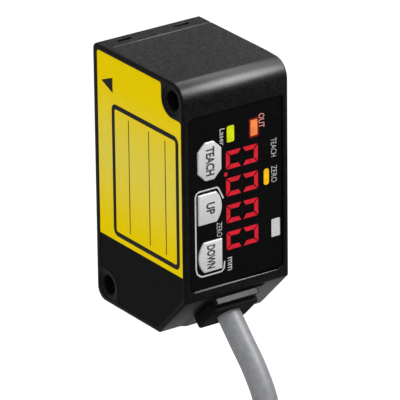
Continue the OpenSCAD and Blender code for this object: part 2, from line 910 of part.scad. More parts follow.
module main_screws() {
    color("silver")
        in_frame()
            for (p = pillars)
                translate([main_x + board_t, p.y, p.z])
                    rotate([0, 0, -90])
                        screw_y(screw_d, main_x + board_t - p.x - 0.2, head_d, head_t);
}

// Chassis and optics

// Seats of the chassis that stand square to the body
module chassis_walls() {
    along_x(plate_x, plate_in) field(plate_low, plate_high);
    block([plate_x, block_y[0], beam_z - block_drop], [block_w, block_y[1], plate_high.y]);
    for (z = rib_places)
        block([plate_x - rib_t + 0.3, ear_y, z - rib_h / 2], [plate_in, ear_y + ear_t, z + rib_h / 2]);
    for (p = pillars)
        translate([0, p.y, p.z]) rod_x(p.x - 1, main_x, pillar_d);
}

// Seats that follow the light's path
module chassis_seats() {
    at_lens()
        block([seat_x, lens_block_y[0], -lens_block_h / 2],
            [lens_block_w, lens_block_y[1], lens_block_h / 2]);
    at_mirror() block([seat_x, -mirror_t - 1.2, -mirror_w / 2], [mirror_w / 2, -mirror_t, mirror_w / 2]);
    at_sensor()
        block([seat_x, -sensor_t - board_t - 1.3, -sensor_l / 2],
            [sensor_w / 2, -sensor_t - board_t, sensor_l / 2]);
}

module chassis() {
    color("#3a3a3d")
        in_frame()
            difference() {
                union() {
                    chassis_walls();
                    chassis_seats();
                }
                translate([0, 0, beam_z]) rod_y(block_y[0] - cut, block_y[1] + cut, holder_d + 2 * fit);
                at_lens() {
                    rod_y(-lens_sunk, 3, lens_d + 2 * fit);
                    rod_y(-3, 0, lens_d - 1.6);
                }
                for (z = rib_places)
                    translate([ear_x, 0, z])
                        rod_y(ear_y - cut, ear_y + ear_t + cut, screw_d + 2 * screw_gap);
                for (p = pillars)
                    translate([0, p.y, p.z]) rod_x(p.x, main_x + cut, screw_d);
            }
}

module chassis_screws() {
    color("silver")
        in_frame()
            for (z = rib_places)
                translate([ear_x, ear_y + ear_t, z])
                    screw_y(screw_d, ear_screw_l + ear_t - 0.4, ear_head_d, head_t);
}

// Front end of the laser holder, which stands out of the chassis
holder_front = block_y[1] + 0.8;
diode_seat = 1.6;
diode_t = 1.2;
can_l = 2.4;
pin_gap = 2.5;
pin_d = 0.45;
pin_r = 1;

module laser_holder() {
    color("#b9975a")
        in_frame()
            translate([0, 0, beam_z])
                difference() {
                    rod_y(holder_front - holder_l, holder_front, holder_d);
                    rod_y(holder_front - holder_l - cut, holder_front + cut, collimator_d - 0.8);
                    rod_y(holder_front - holder_l - cut, holder_front - holder_l + diode_seat,
                        diode_d + 2 * fit);
                    rod_y(holder_front - lens_edge - 0.8, holder_front + cut, collimator_d + 2 * fit);
                }
}

module laser_diode() {
    back = holder_front - holder_l + diode_seat;
    color("#d6c27a")
        in_frame()
            translate([0, 0, beam_z]) {
                rod_y(back - diode_t, back, diode_d);
                rod_y(back, back + can_l, collimator_d - 1.2);
                for (turn = [0, 120, 240])
                    rotate([0, turn, 0])
                        translate([pin_r, 0, 0]) rod_y(board_back + pin_gap, back - diode_t, pin_d);
            }
}

// Distance of a lens surface from its sphere's middle, at a radius from the lens axis
function bow_depth(r) = sqrt(lens_bow * lens_bow - r * r);

// Lens with a plane rear face, bowed towards the front
module bowed_lens(d) {
    intersection() {
        rod_y(0, lens_edge + lens_bow, d);
        translate([0, lens_edge - bow_depth(d / 2), 0]) sphere(lens_bow, $fn = 240);
    }
}

module collimator_lens()
    color("#bcd3e6", 0.6)
        in_frame()
            translate([0, holder_front - lens_edge - 0.8, beam_z]) bowed_lens(collimator_d);

module receiver_lens()
    color("#bcd3e6", 0.6)
        in_frame()
            at_lens() translate([0, -lens_sunk, 0]) bowed_lens(lens_d);

// Ring that keeps the receiver lens in its seat
module lens_ring() {
    inner_r = lens_d / 2 - 0.6;
    start = lens_edge - lens_sunk + bow_depth(inner_r) - bow_depth(lens_d / 2) + fit / 2;
    color("#1b1b1c")
        in_frame()
            at_lens()
                difference() {
                    rod_y(start, lens_block_y[1], lens_d);
                    rod_y(start - cut, lens_block_y[1] + cut, 2 * inner_r);
                }
}

module fold_mirror()
    color("#cfd8dc")
        in_frame()
            at_mirror() block([-mirror_w / 2, -mirror_t, -mirror_w / 2], [mirror_w / 2, 0, mirror_w / 2]);

module sensor_board()
    color("#1f5a35")
        in_frame()
            at_sensor()
                block([-sensor_w / 2, -sensor_t - board_t, -sensor_l / 2],
                    [sensor_w / 2, -sensor_t, sensor_l / 2]);

module image_sensor()
    color("#2e3440")
        in_frame()
            at_sensor() block([-chip_w / 2, -sensor_t, -chip_l / 2], [chip_w / 2, 0, chip_l / 2]);

// Cable

module core_connector()
    color("#e6e0d0")
        in_frame()
            block(connector_low, connector_low + connector_size);

// Cores from the cable's inner end to the connector on the main board
module cable_cores() {
    shades = ["#6b4226", "#2455a4", "#1c1c1c", "#8b8b8b", "#d98aa5"];
    start = cable_route[0] + [body_w / 2, core_gap, core_gap];
    for (i = [0:cores - 1]) {
        a = core_turns[i];
        from = start + core_ring * [cos(a), -sin(a) / sqrt(2), sin(a) / sqrt(2)];
        to = connector_low + [-core_gap, core_edge + core_pitch * i, connector_size.z / 2];
        color(shades[i]) in_frame() rod(from, to, core_d);
    }
}

// Space of the cable clamp, widened by a gap
module clamp_room(gap)
    at_slant()
        translate([0, 0, -wall - clamp_in - gap])
            cylinder(d = cable_d + 2 * clamp_t + 2 * gap, h = clamp_h + 2 * gap);

module cable_clamp()
    color("#b4b7ba")
        in_frame()
            difference() {
                clamp_room(0);
                at_slant()
                    translate([0, 0, -wall - clamp_in - cut])
                        cylinder(d = gland_bore, h = clamp_h + 2 * cut);
            }

// Gland: plate on the pad, neck through the wall and a flange behind it
module cable_gland() {
    color("#1d1d1e")
        in_frame()
            at_slant()
                difference() {
                    union() {
                        translate([0, 0, pad_t])
                            linear_extrude(gland_t) round_field([gland_w, gland_l], gland_r);
                        translate([0, 0, -wall - 1]) cylinder(d = neck_d, h = wall + 1 + pad_t);
                        translate([0, 0, -wall - 1]) cylinder(d = neck_d + 1.4, h = 1 - fit);
                    }
                    translate([0, 0, -wall - 1 - cut])
                        cylinder(d = gland_bore, h = wall + 1 + pad_t + gland_t + 2 * cut);
                }
}

// Tube of many sides that follows a route in the Y-Z plane
module tube(route, d, sides) {
    last = len(route) - 1;
    rings = [for (i = [0:last])
        let (
            run = route[min(i + 1, last)] - route[max(i - 1, 0)],
            side = cross(run, [1, 0, 0]) / norm(cross(run, [1, 0, 0])),
            up = cross(side, run) / norm(cross(side, run))
        )
        for (k = [0:sides - 1])
            route[i] + d / 2 * (cos(360 * k / sides) * side + sin(360 * k / sides) * up)];
    walls = [for (i = [0:last - 1], k = [0:sides - 1])
        let (n = (k + 1) % sides)
        [i * sides + k, (i + 1) * sides + k, (i + 1) * sides + n, i * sides + n]];
    first_cap = [for (k = [0:sides - 1]) k];
    last_cap = [for (k = [sides - 1:-1:0]) last * sides + k];
    polyhedron(rings, concat(walls, [first_cap, last_cap]));
}

module cable() color("#8d8f92") tube(cable_route, cable_d, cable_sides);
module cable_tail() color("#8d8f92") tube(cable_tail_route, cable_d, cable_sides);

// Half widths of the coil's inner layers and of its outer layer
coil_side = coil_columns * turn_pitch / 2;
coil_crest = coil_outer_columns * turn_pitch / 2;

module cable_coil() {
    color("#8d8f92")
        translate(coil_place)
            rotate([0, 90, 0])
                rotate_extrude() {
                    field([coil_r[0], -coil_side], [coil_r[1], coil_side]);
                    field([coil_r[1] - fit, -coil_crest], [coil_r[1] + turn_pitch, coil_crest]);
                }
}

// Section of the coil, spread by a gap, that a tie pulls round
module tie_outline(gap) {
    side = coil_side + gap;
    crest = coil_crest + gap;
    polygon([[-side, coil_r[0] - gap], [side, coil_r[0] - gap], [side, coil_r[1] + gap],
        [crest, coil_r[1] + turn_pitch + gap], [-crest, coil_r[1] + turn_pitch + gap],
        [-side, coil_r[1] + gap]]);
}

module cable_ties() {
    color("#1a1a1b")
        for (a = tie_angles)
            translate(coil_place)
                rotate([-a, 0, 0]) {
                    along_y(-tie_w / 2, tie_w / 2)
                        difference() {
                            tie_outline(tie_gap + tie_t);
                            tie_outline(tie_gap);
                        }
                    translate([0, 0, coil_r[1] + turn_pitch + tie_gap + tie_t + tie_head.z / 2 - fit])
                        cube(tie_head, center = true);
                }
}

// Lead sleeves and their tinned tips, fanned out from the tail's end
module leads(start, length, d) {
    tail = cable_tail_route[len(cable_tail_route) - 1];
    for (i = [0:cores - 1])
        translate(tail)
            rotate([0, 0, 72 * i])
                translate([core_ring, 0, 0])
                    rotate([0, 180 - lead_splay, 0])
                        translate([0, 0, start]) cylinder(d = d, h = length);
}

module lead_wires() color("#7a5a44") leads(lead_gap, lead_l, lead_d);
module lead_tips() color("#c8cacc") leads(lead_gap + lead_l, tip_l, tip_d);

case();
front_cover();
front_gasket();
front_window();
side_label();
display_panel();
digit_display();
lit_segments();
dark_segments();
laser_lamp();
output_lamp();
teach_lamp();
zero_lamp();
mode_lamp();
lamp_chips();
teach_key();
up_key();
down_key();
teach_plunger();
up_plunger();
down_plunger();
key_switches();
display_board();
display_screws();
board_socket();
main_board();
board_chips();
main_screws();
chassis();
chassis_screws();
laser_holder();
laser_diode();
collimator_lens();
receiver_lens();
lens_ring();
fold_mirror();
sensor_board();
image_sensor();
core_connector();
cable_cores();
cable_clamp();
cable_gland();
cable();
cable_coil();
cable_tail();
cable_ties();
lead_wires();
lead_tips();
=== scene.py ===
"""Dressed model of a compact laser displacement sensor with a coiled cable."""

from __future__ import annotations

import logging
import math
from dataclasses import dataclass, field
from enum import Enum
from typing import Callable, Sequence

import bmesh
import bpy
from mathutils import Matrix, Vector


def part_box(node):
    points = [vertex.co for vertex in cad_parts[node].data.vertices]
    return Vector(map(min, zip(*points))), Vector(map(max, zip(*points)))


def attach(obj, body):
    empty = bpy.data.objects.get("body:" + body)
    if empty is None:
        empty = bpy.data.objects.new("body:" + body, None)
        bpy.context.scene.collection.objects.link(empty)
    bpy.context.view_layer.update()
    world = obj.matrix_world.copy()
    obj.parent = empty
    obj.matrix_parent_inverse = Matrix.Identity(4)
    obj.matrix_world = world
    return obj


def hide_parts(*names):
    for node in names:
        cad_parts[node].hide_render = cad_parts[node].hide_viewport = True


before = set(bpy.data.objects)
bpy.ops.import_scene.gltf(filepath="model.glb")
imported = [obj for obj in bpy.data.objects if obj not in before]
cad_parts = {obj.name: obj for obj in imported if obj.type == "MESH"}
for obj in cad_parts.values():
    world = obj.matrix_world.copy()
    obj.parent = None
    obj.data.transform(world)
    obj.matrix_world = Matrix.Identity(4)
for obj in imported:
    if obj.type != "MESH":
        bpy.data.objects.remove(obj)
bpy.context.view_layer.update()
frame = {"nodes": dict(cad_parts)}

log = logging.getLogger("sensor")
ROOT_BODY = "sensor"
# Metres in a millimetre and degrees in a turn.
MM = 0.001
FULL_TURN = 360.0
# Middle of the width, middle of the panel's height and the printed faces, in millimetres.
MIDDLE_X = -10.0
PANEL_Z = 1.85
PANEL_FACE = -12.15
KEY_FACE = -12.4
LABEL_FACE = -19.95
# Middle of the round display edge, in metres.
CROWN_MIDDLE = (-0.010, -0.012, 0.020)
# Detail of the grain, the parts of it that colour and gloss are stretched over, and the least roughness.
NOISE_DETAIL = 3.0
SPECKLE_RANGE = (0.36, 0.64)
GLOSS_RANGE = (0.25, 0.75)
LEAST_ROUGHNESS = 0.02
# Steps across an inked line's quarter section, an inked field's corners and the letters' curves.
LINE_STEPS = 2
FIELD_STEPS = 4
LETTER_STEPS = 3
# Gap in millimetres that is welded, angle that counts as flat, and angles that are shaded smooth.
WELD_GAP = 0.0005
FLAT_ANGLE = math.radians(0.6)
SHELL_SMOOTH = math.radians(34)
TUBE_SMOOTH = math.radians(40)

Colour = tuple[float, float, float]
Point = tuple[float, float, float]


def srgb(red: int, green: int, blue: int) -> Colour:
    """Turns display values of 0 to 255 into the linear colour that shaders use.

    Args:
        red: Red display value.
        green: Green display value.
        blue: Blue display value.

    Returns:
        The linear colour.
    """
    def linear(value: int) -> float:
        """Returns one channel in linear light."""
        part = value / 255
        return part / 12.92 if part <= 0.04045 else ((part + 0.055) / 1.055) ** 2.4
    return linear(red), linear(green), linear(blue)


@dataclass(frozen=True)
class Finish:
    """A surface finish whose colour, gloss and relief vary a little over the piece.

    Attributes:
        name: Name of the material.
        colour: Linear base colour.
        spread: How far the colour varies, as a part of itself.
        roughness: Middle roughness.
        rough_spread: How far the roughness varies either way.
        grain: Size of the surface's grain in millimetres.
        relief: Height of the grain in millimetres.
        metallic: Share of bare metal.
        specular: Level of the mirror reflection.
        clear: Share of light that passes through.
        glow: Strength of the light that the surface gives off.
        unlit: Share of the colour that a glowing surface keeps without its own light.
    """

    name: str
    colour: Colour
    spread: float = 0.15
    roughness: float = 0.5
    rough_spread: float = 0.06
    grain: float = 0.4
    relief: float = 0.0
    metallic: float = 0.0
    specular: float = 0.5
    clear: float = 0.0
    glow: float = 0.0
    unlit: float = 0.15

    def build(self) -> bpy.types.Material:
        """Builds the node material.

        Returns:
            The finished material.
        """
        found = bpy.data.materials.get(self.name)
        if found:
            return found
        material = bpy.data.materials.new(self.name)
        material.use_nodes = True
        nodes, links = material.node_tree.nodes, material.node_tree.links
        shader = nodes["Principled BSDF"]
        shader.inputs["Metallic"].default_value = self.metallic
        shader.inputs["Specular IOR Level"].default_value = self.specular
        shader.inputs["Transmission Weight"].default_value = self.clear
        place = nodes.new("ShaderNodeTexCoord")
        noise = nodes.new("ShaderNodeTexNoise")
        noise.inputs["Scale"].default_value = 1 / (self.grain * MM)
        noise.inputs["Detail"].default_value = NOISE_DETAIL
        links.new(place.outputs["Object"], noise.inputs["Vector"])
        speckle = nodes.new("ShaderNodeMapRange")
        speckle.inputs["From Min"].default_value = SPECKLE_RANGE[0]
        speckle.inputs["From Max"].default_value = SPECKLE_RANGE[1]
        links.new(noise.outputs["Fac"], speckle.inputs["Value"])
        self.tint(material, shader, speckle.outputs["Result"], place)
        links.new(self.gloss(material, noise.outputs["Fac"], place), shader.inputs["Roughness"])
        if self.relief > 0:
            bump = nodes.new("ShaderNodeBump")
            bump.inputs["Strength"].default_value = 1.0
            bump.inputs["Distance"].default_value = self.relief * MM
            links.new(noise.outputs["Fac"], bump.inputs["Height"])
            links.new(bump.outputs["Normal"], shader.inputs["Normal"])
        return material

    def gloss(self, material: bpy.types.Material, noise: bpy.types.NodeSocket,
              place: bpy.types.Node) -> bpy.types.NodeSocket:
        """Varies the roughness with the grain.

        Args:
            material: Material that is built.
            noise: Socket of the grain.
            place: Texture coordinates of the piece.

        Returns:
            The roughness socket.
        """
        rough = material.node_tree.nodes.new("ShaderNodeMapRange")
        rough.inputs["From Min"].default_value = GLOSS_RANGE[0]
        rough.inputs["From Max"].default_value = GLOSS_RANGE[1]
        rough.inputs["To Min"].default_value = max(LEAST_ROUGHNESS, self.roughness - self.rough_spread)
        rough.inputs["To Max"].default_value = min(1.0, self.roughness + self.rough_spread)
        material.node_tree.links.new(noise, rough.inputs["Value"])
        return rough.outputs["Result"]

    @staticmethod
    def above(material: bpy.types.Material, place: bpy.types.Node, level: float) -> bpy.types.NodeSocket:
        """Adds the test for what lies above a level.

        Args:
            material: Material that gets the nodes.
            place: Texture coordinates of the piece.
            level: Height in millimetres.

        Returns:
            Socket that is 1 above the level and 0 under it.
        """
        nodes, links = material.node_tree.nodes, material.node_tree.links
        split = nodes.new("ShaderNodeSeparateXYZ")
        links.new(place.outputs["Object"], split.inputs["Vector"])
        test = nodes.new("ShaderNodeMath")
        test.operation = "GREATER_THAN"
        test.inputs[1].default_value = level * MM
        links.new(split.outputs["Z"], test.inputs[0])
        return test.outputs["Value"]

    @staticmethod
    def blend(material: bpy.types.Material, factor: bpy.types.NodeSocket, first: bpy.types.NodeSocket,
              second: bpy.types.NodeSocket) -> bpy.types.NodeSocket:
        """Adds a blend of two colours.

        Args:
            material: Material that gets the node.
            factor: Socket that drives the blend.
            first: Colour at 0.
            second: Colour at 1.

        Returns:
            The blended colour's socket.
        """
        node = material.node_tree.nodes.new("ShaderNodeMix")
        node.data_type = "RGBA"
        links = material.node_tree.links
        links.new(factor, node.inputs[0])
        links.new(first, node.inputs["A"])
        links.new(second, node.inputs["B"])
        return next(s for s in node.outputs if s.type == "RGBA")

    def mix(self, material: bpy.types.Material, factor: bpy.types.NodeSocket, colour: Colour,
            spread: float | None = None) -> bpy.types.NodeSocket:
        """Adds a mix of the dark and the light end of a colour.

        Args:
            material: Material that gets the node.
            factor: Socket that drives the mix.
            colour: Linear colour in the middle.
            spread: How far the ends lie from it, if not as the finish says.

        Returns:
            The mixed colour's socket.
        """
        node = material.node_tree.nodes.new("ShaderNodeMix")
        node.data_type = "RGBA"
        reach = self.spread if spread is None else spread
        node.inputs["A"].default_value = tuple(max(0.0, c * (1 - reach)) for c in colour) + (1.0,)
        node.inputs["B"].default_value = tuple(min(1.0, c * (1 + reach)) for c in colour) + (1.0,)
        # The float Factor is the first of the node's like-named inputs.
        material.node_tree.links.new(factor, node.inputs[0])
        return next(s for s in node.outputs if s.type == "RGBA")

    def tint(self, material: bpy.types.Material, shader: bpy.types.Node, speckle: bpy.types.NodeSocket,
             place: bpy.types.Node) -> None:
        """Colours the surface, and makes it glow where it is lit.

        Args:
            material: Material that is built.
            shader: Its surface shader.
            speckle: Socket that varies from 0 to 1 with the grain.
            place: Texture coordinates of the piece.
        """
        links = material.node_tree.links
        colour = self.mix(material, speckle, self.colour)
        if self.glow > 0:
            links.new(colour, shader.inputs["Emission Color"])
            shader.inputs["Emission Strength"].default_value = self.glow
            shaded = tuple(part * self.unlit for part in self.colour)
            colour = self.mix(material, speckle, shaded)
        links.new(colour, shader.inputs["Base Color"])


@dataclass(frozen=True)
class TwoToneFilm(Finish):
    """A printed film of one colour above a level and another below it, whose upper field pales round a
    height in a painted reflection.

    Attributes:
        below: Linear colour under the level.
        level: Height of the change in millimetres.
        painted_reflection: Linear colour where the painted reflection leaves the upper field palest.
        middle: Height of that place in millimetres.
        reach: Height over which the painted reflection fades, in millimetres.
    """

    below: Colour = (0.0, 0.0, 0.0)
    level: float = 0.0
    painted_reflection: Colour = (1.0, 1.0, 1.0)
    middle: float = 0.0
    reach: float = 10.0

    def tint(self, material: bpy.types.Material, shader: bpy.types.Node, speckle: bpy.types.NodeSocket,
             place: bpy.types.Node) -> None:
        """Colours the film's two fields, with a painted reflection on the upper one.

        Args:
            material: Material that is built.
            shader: Its surface shader.
            speckle: Socket that varies from 0 to 1 with the grain.
            place: Texture coordinates of the piece.
        """
        nodes, links = material.node_tree.nodes, material.node_tree.links
        # The upper field pales round the middle height in a painted reflection.
        split = nodes.new("ShaderNodeSeparateXYZ")
        links.new(place.outputs["Object"], split.inputs["Vector"])
        away = nodes.new("ShaderNodeMath")
        away.operation = "SUBTRACT"
        away.inputs[1].default_value = self.middle * MM
        links.new(split.outputs["Z"], away.inputs[0])
        far = nodes.new("ShaderNodeMath")
        far.operation = "ABSOLUTE"
        links.new(away.outputs["Value"], far.inputs[0])
        reflection_mask = nodes.new("ShaderNodeMapRange")
        reflection_mask.interpolation_type = "SMOOTHSTEP"
        reflection_mask.inputs["From Max"].default_value = self.reach * MM
        reflection_mask.inputs["To Min"].default_value = 1.0
        reflection_mask.inputs["To Max"].default_value = 0.0
        links.new(far.outputs["Value"], reflection_mask.inputs["Value"])
        upper = self.blend(material, reflection_mask.outputs["Result"], self.mix(material, speckle, self.colour),
                           self.mix(material, speckle, self.painted_reflection))
        above = self.above(material, place, self.level)
        both = self.blend(material, above, self.mix(material, speckle, self.below), upper)
        links.new(both, shader.inputs["Base Color"])


@dataclass(frozen=True)
class TexturedTop(Finish):
    """A satin finish with a coarser, duller texture on the flat top, whose lighter colour there is a painted
    sheen.

    Attributes:
        level: Height where the texture begins, in millimetres.
        painted_sheen: Linear colour of the textured top, lighter than the sides as a painted sheen.
        painted_sheen_spread: How far that colour varies, as a part of itself.
        dull: Roughness of the top.
    """

    level: float = 0.0
    # The top's lighter colour is a painted sheen.
    painted_sheen: Colour = (0.0, 0.0, 0.0)
    painted_sheen_spread: float = 0.2
    dull: float = 1.0

    def tint(self, material: bpy.types.Material, shader: bpy.types.Node, speckle: bpy.types.NodeSocket,
             place: bpy.types.Node) -> None:
        """Colours the sides, and the top in a lighter painted sheen.

        Args:
            material: Material that is built.
            shader: Its surface shader.
            speckle: Socket that varies from 0 to 1 with the grain.
            place: Texture coordinates of the piece.
        """
        sides = self.mix(material, speckle, self.colour)
        # The top's lighter colour is a painted sheen, varied by the grain.
        top = self.mix(material, speckle, self.painted_sheen, self.painted_sheen_spread)
        both = self.blend(material, self.above(material, place, self.level), sides, top)
        material.node_tree.links.new(both, shader.inputs["Base Color"])

    def gloss(self, material: bpy.types.Material, noise: bpy.types.NodeSocket,
              place: bpy.types.Node) -> bpy.types.NodeSocket:
        """Dulls the top.

        Args:
            material: Material that is built.
            noise: Socket of the grain.
            place: Texture coordinates of the piece.

        Returns:
            The roughness socket.
        """
        nodes, links = material.node_tree.nodes, material.node_tree.links
        choice = nodes.new("ShaderNodeMix")
        links.new(self.above(material, place, self.level), choice.inputs[0])
        links.new(super().gloss(material, noise, place), choice.inputs["A"])
        choice.inputs["B"].default_value = self.dull
        return choice.outputs[0]


class Look(Enum):
    """Finishes of the sensor's pieces."""

    # The lighter colour on the top of both paints is a painted sheen.
    PAINT = TexturedTop("body_paint", srgb(13, 13, 13), 0.9, 0.38, 0.06, 0.28, 0.004, specular=0.03,
                        level=21.98, painted_sheen=srgb(31, 31, 31), painted_sheen_spread=0.9)
    COVER = TexturedTop("cover_plastic", srgb(13, 13, 13), 0.8, 0.38, 0.06, 0.28, 0.004, specular=0.03,
                        level=21.98, painted_sheen=srgb(31, 31, 31), painted_sheen_spread=0.9)
    RUBBER = Finish("gland_rubber", srgb(14, 14, 14), 0.5, 0.85, 0.08, 0.2, 0.006, specular=0.04)
    WINDOW = Finish("filter_window", srgb(70, 8, 10), 0.1, 0.08, 0.02, 2.0, 0.0, clear=0.5)
    # The label's yellow pales round its middle height in a painted reflection.
    LABEL = TwoToneFilm("label_film", srgb(236, 206, 0), 0.02, 0.42, 0.06, 0.6, 0.0, specular=0.012,
                        below=srgb(12, 12, 13), level=-10.2, painted_reflection=srgb(228, 208, 74), middle=4.5, reach=13.0)
    INK = Finish("label_ink", srgb(20, 19, 17), 0.15, 0.5, 0.06, 0.5, 0.0, specular=0.05)
    PANEL = Finish("panel_sheet", srgb(6, 6, 7), 0.2, 0.3, 0.05, 1.5, 0.0, specular=0.02)
    PRINT = Finish("panel_print", srgb(205, 206, 208), 0.06, 0.5, 0.05, 0.5, 0.0, specular=0.2)
    LIT_PRINT = Finish("lit_print", srgb(236, 152, 132), 0.06, 0.5, 0.05, 0.5, 0.0, specular=0.2)
    HALO = Finish("lamp_halo", srgb(112, 20, 22), 0.2, 0.5, 0.05, 0.7, 0.0, specular=0.02, glow=0.9)
    RED = Finish("red_glow", srgb(205, 26, 44), 0.12, 0.4, 0.05, 0.7, 0.0, specular=0.05, glow=0.9)
    UNLIT = Finish("unlit_segment", srgb(10, 5, 5), 0.2, 0.4, 0.05, 0.7, 0.0, specular=0.02)
    GREEN = Finish("green_glow", srgb(206, 220, 4), 0.12, 0.4, 0.05, 1.2, 0.0, specular=0.05, glow=0.9)
    ORANGE = Finish("orange_glow", srgb(241, 134, 68), 0.14, 0.4, 0.05, 1.2, 0.0, specular=0.05, glow=0.9)
    AMBER = Finish("amber_glow", srgb(251, 190, 8), 0.12, 0.4, 0.05, 1.2, 0.0, specular=0.05, glow=0.9)
    KEYS = Finish("key_plastic", srgb(208, 208, 210), 0.04, 0.5, 0.06, 0.5, 0.003, specular=0.2)
    KEY_INK = Finish("key_ink", srgb(30, 29, 34), 0.15, 0.55, 0.05, 0.5, 0.0, specular=0.2)
    DARK = Finish("moulded_dark", srgb(34, 33, 33), 0.2, 0.5, 0.06, 0.5, 0.004)
    PALE = Finish("moulded_pale", srgb(224, 218, 202), 0.06, 0.5, 0.06, 0.6, 0.004)
    BOARD = Finish("board_mask", srgb(26, 92, 50), 0.25, 0.35, 0.08, 1.2, 0.004)
    STEEL = Finish("plated_steel", srgb(190, 192, 195), 0.08, 0.3, 0.08, 0.3, 0.002, metallic=1.0)
    CHASSIS = Finish("anodised_base", srgb(58, 58, 60), 0.15, 0.45, 0.08, 0.4, 0.004, metallic=0.6)
    BRASS = Finish("turned_brass", srgb(204, 172, 104), 0.1, 0.28, 0.08, 0.3, 0.002, metallic=1.0)
    LENS = Finish("lens_glass", srgb(232, 240, 246), 0.03, 0.05, 0.02, 3.0, 0.0, clear=0.9)
    MIRROR = Finish("front_mirror", srgb(226, 230, 232), 0.03, 0.06, 0.02, 3.0, 0.0, metallic=1.0)
    JACKET = Finish("jacket_pvc", srgb(130, 131, 134), 0.07, 0.5, 0.07, 0.8, 0.006, specular=0.05)
    TIES = Finish("tie_nylon", srgb(24, 24, 25), 0.2, 0.42, 0.06, 0.6, 0.004, specular=0.05)
    BROWN = Finish("brown_sleeve", srgb(110, 66, 38), 0.1, 0.42, 0.06, 0.5, 0.003, specular=0.1)
    BLUE = Finish("blue_sleeve", srgb(38, 84, 164), 0.1, 0.42, 0.06, 0.5, 0.003, specular=0.1)
    BLACK = Finish("black_sleeve", srgb(26, 26, 27), 0.2, 0.42, 0.06, 0.5, 0.003, specular=0.1)
    GREY = Finish("grey_sleeve", srgb(140, 140, 142), 0.1, 0.42, 0.06, 0.5, 0.003, specular=0.1)
    PINK = Finish("pink_sleeve", srgb(216, 138, 164), 0.1, 0.42, 0.06, 0.5, 0.003, specular=0.1)

    def dress(self, piece: bpy.types.Object) -> None:
        """Gives a piece this finish alone.

        Args:
            piece: Mesh or curve object.
        """
        piece.data.materials.clear()
        piece.data.materials.append(self.value.build())


@dataclass(frozen=True)
class Legend:
    """A word printed on the display face.

    Attributes:
        name: Name of its piece.
        text: Letters of the word.
        x: Middle across the panel in millimetres.
        z: Middle along the panel in millimetres.
        length: Length of the word in millimetres.
        height: Height of its letters in millimetres.
        weight: How much bolder its strokes are, as a share of the height.
        look: Its ink.
        half: Half of the ink's thickness in millimetres.
        out: How far the middle of the ink stands out of the face, in millimetres.
    """

    name: str
    text: str
    x: float
    z: float
    length: float
    height: float
    weight: float = 0.0
    look: Look = Look.PRINT
    half: float = 0.006
    out: float = 0.004


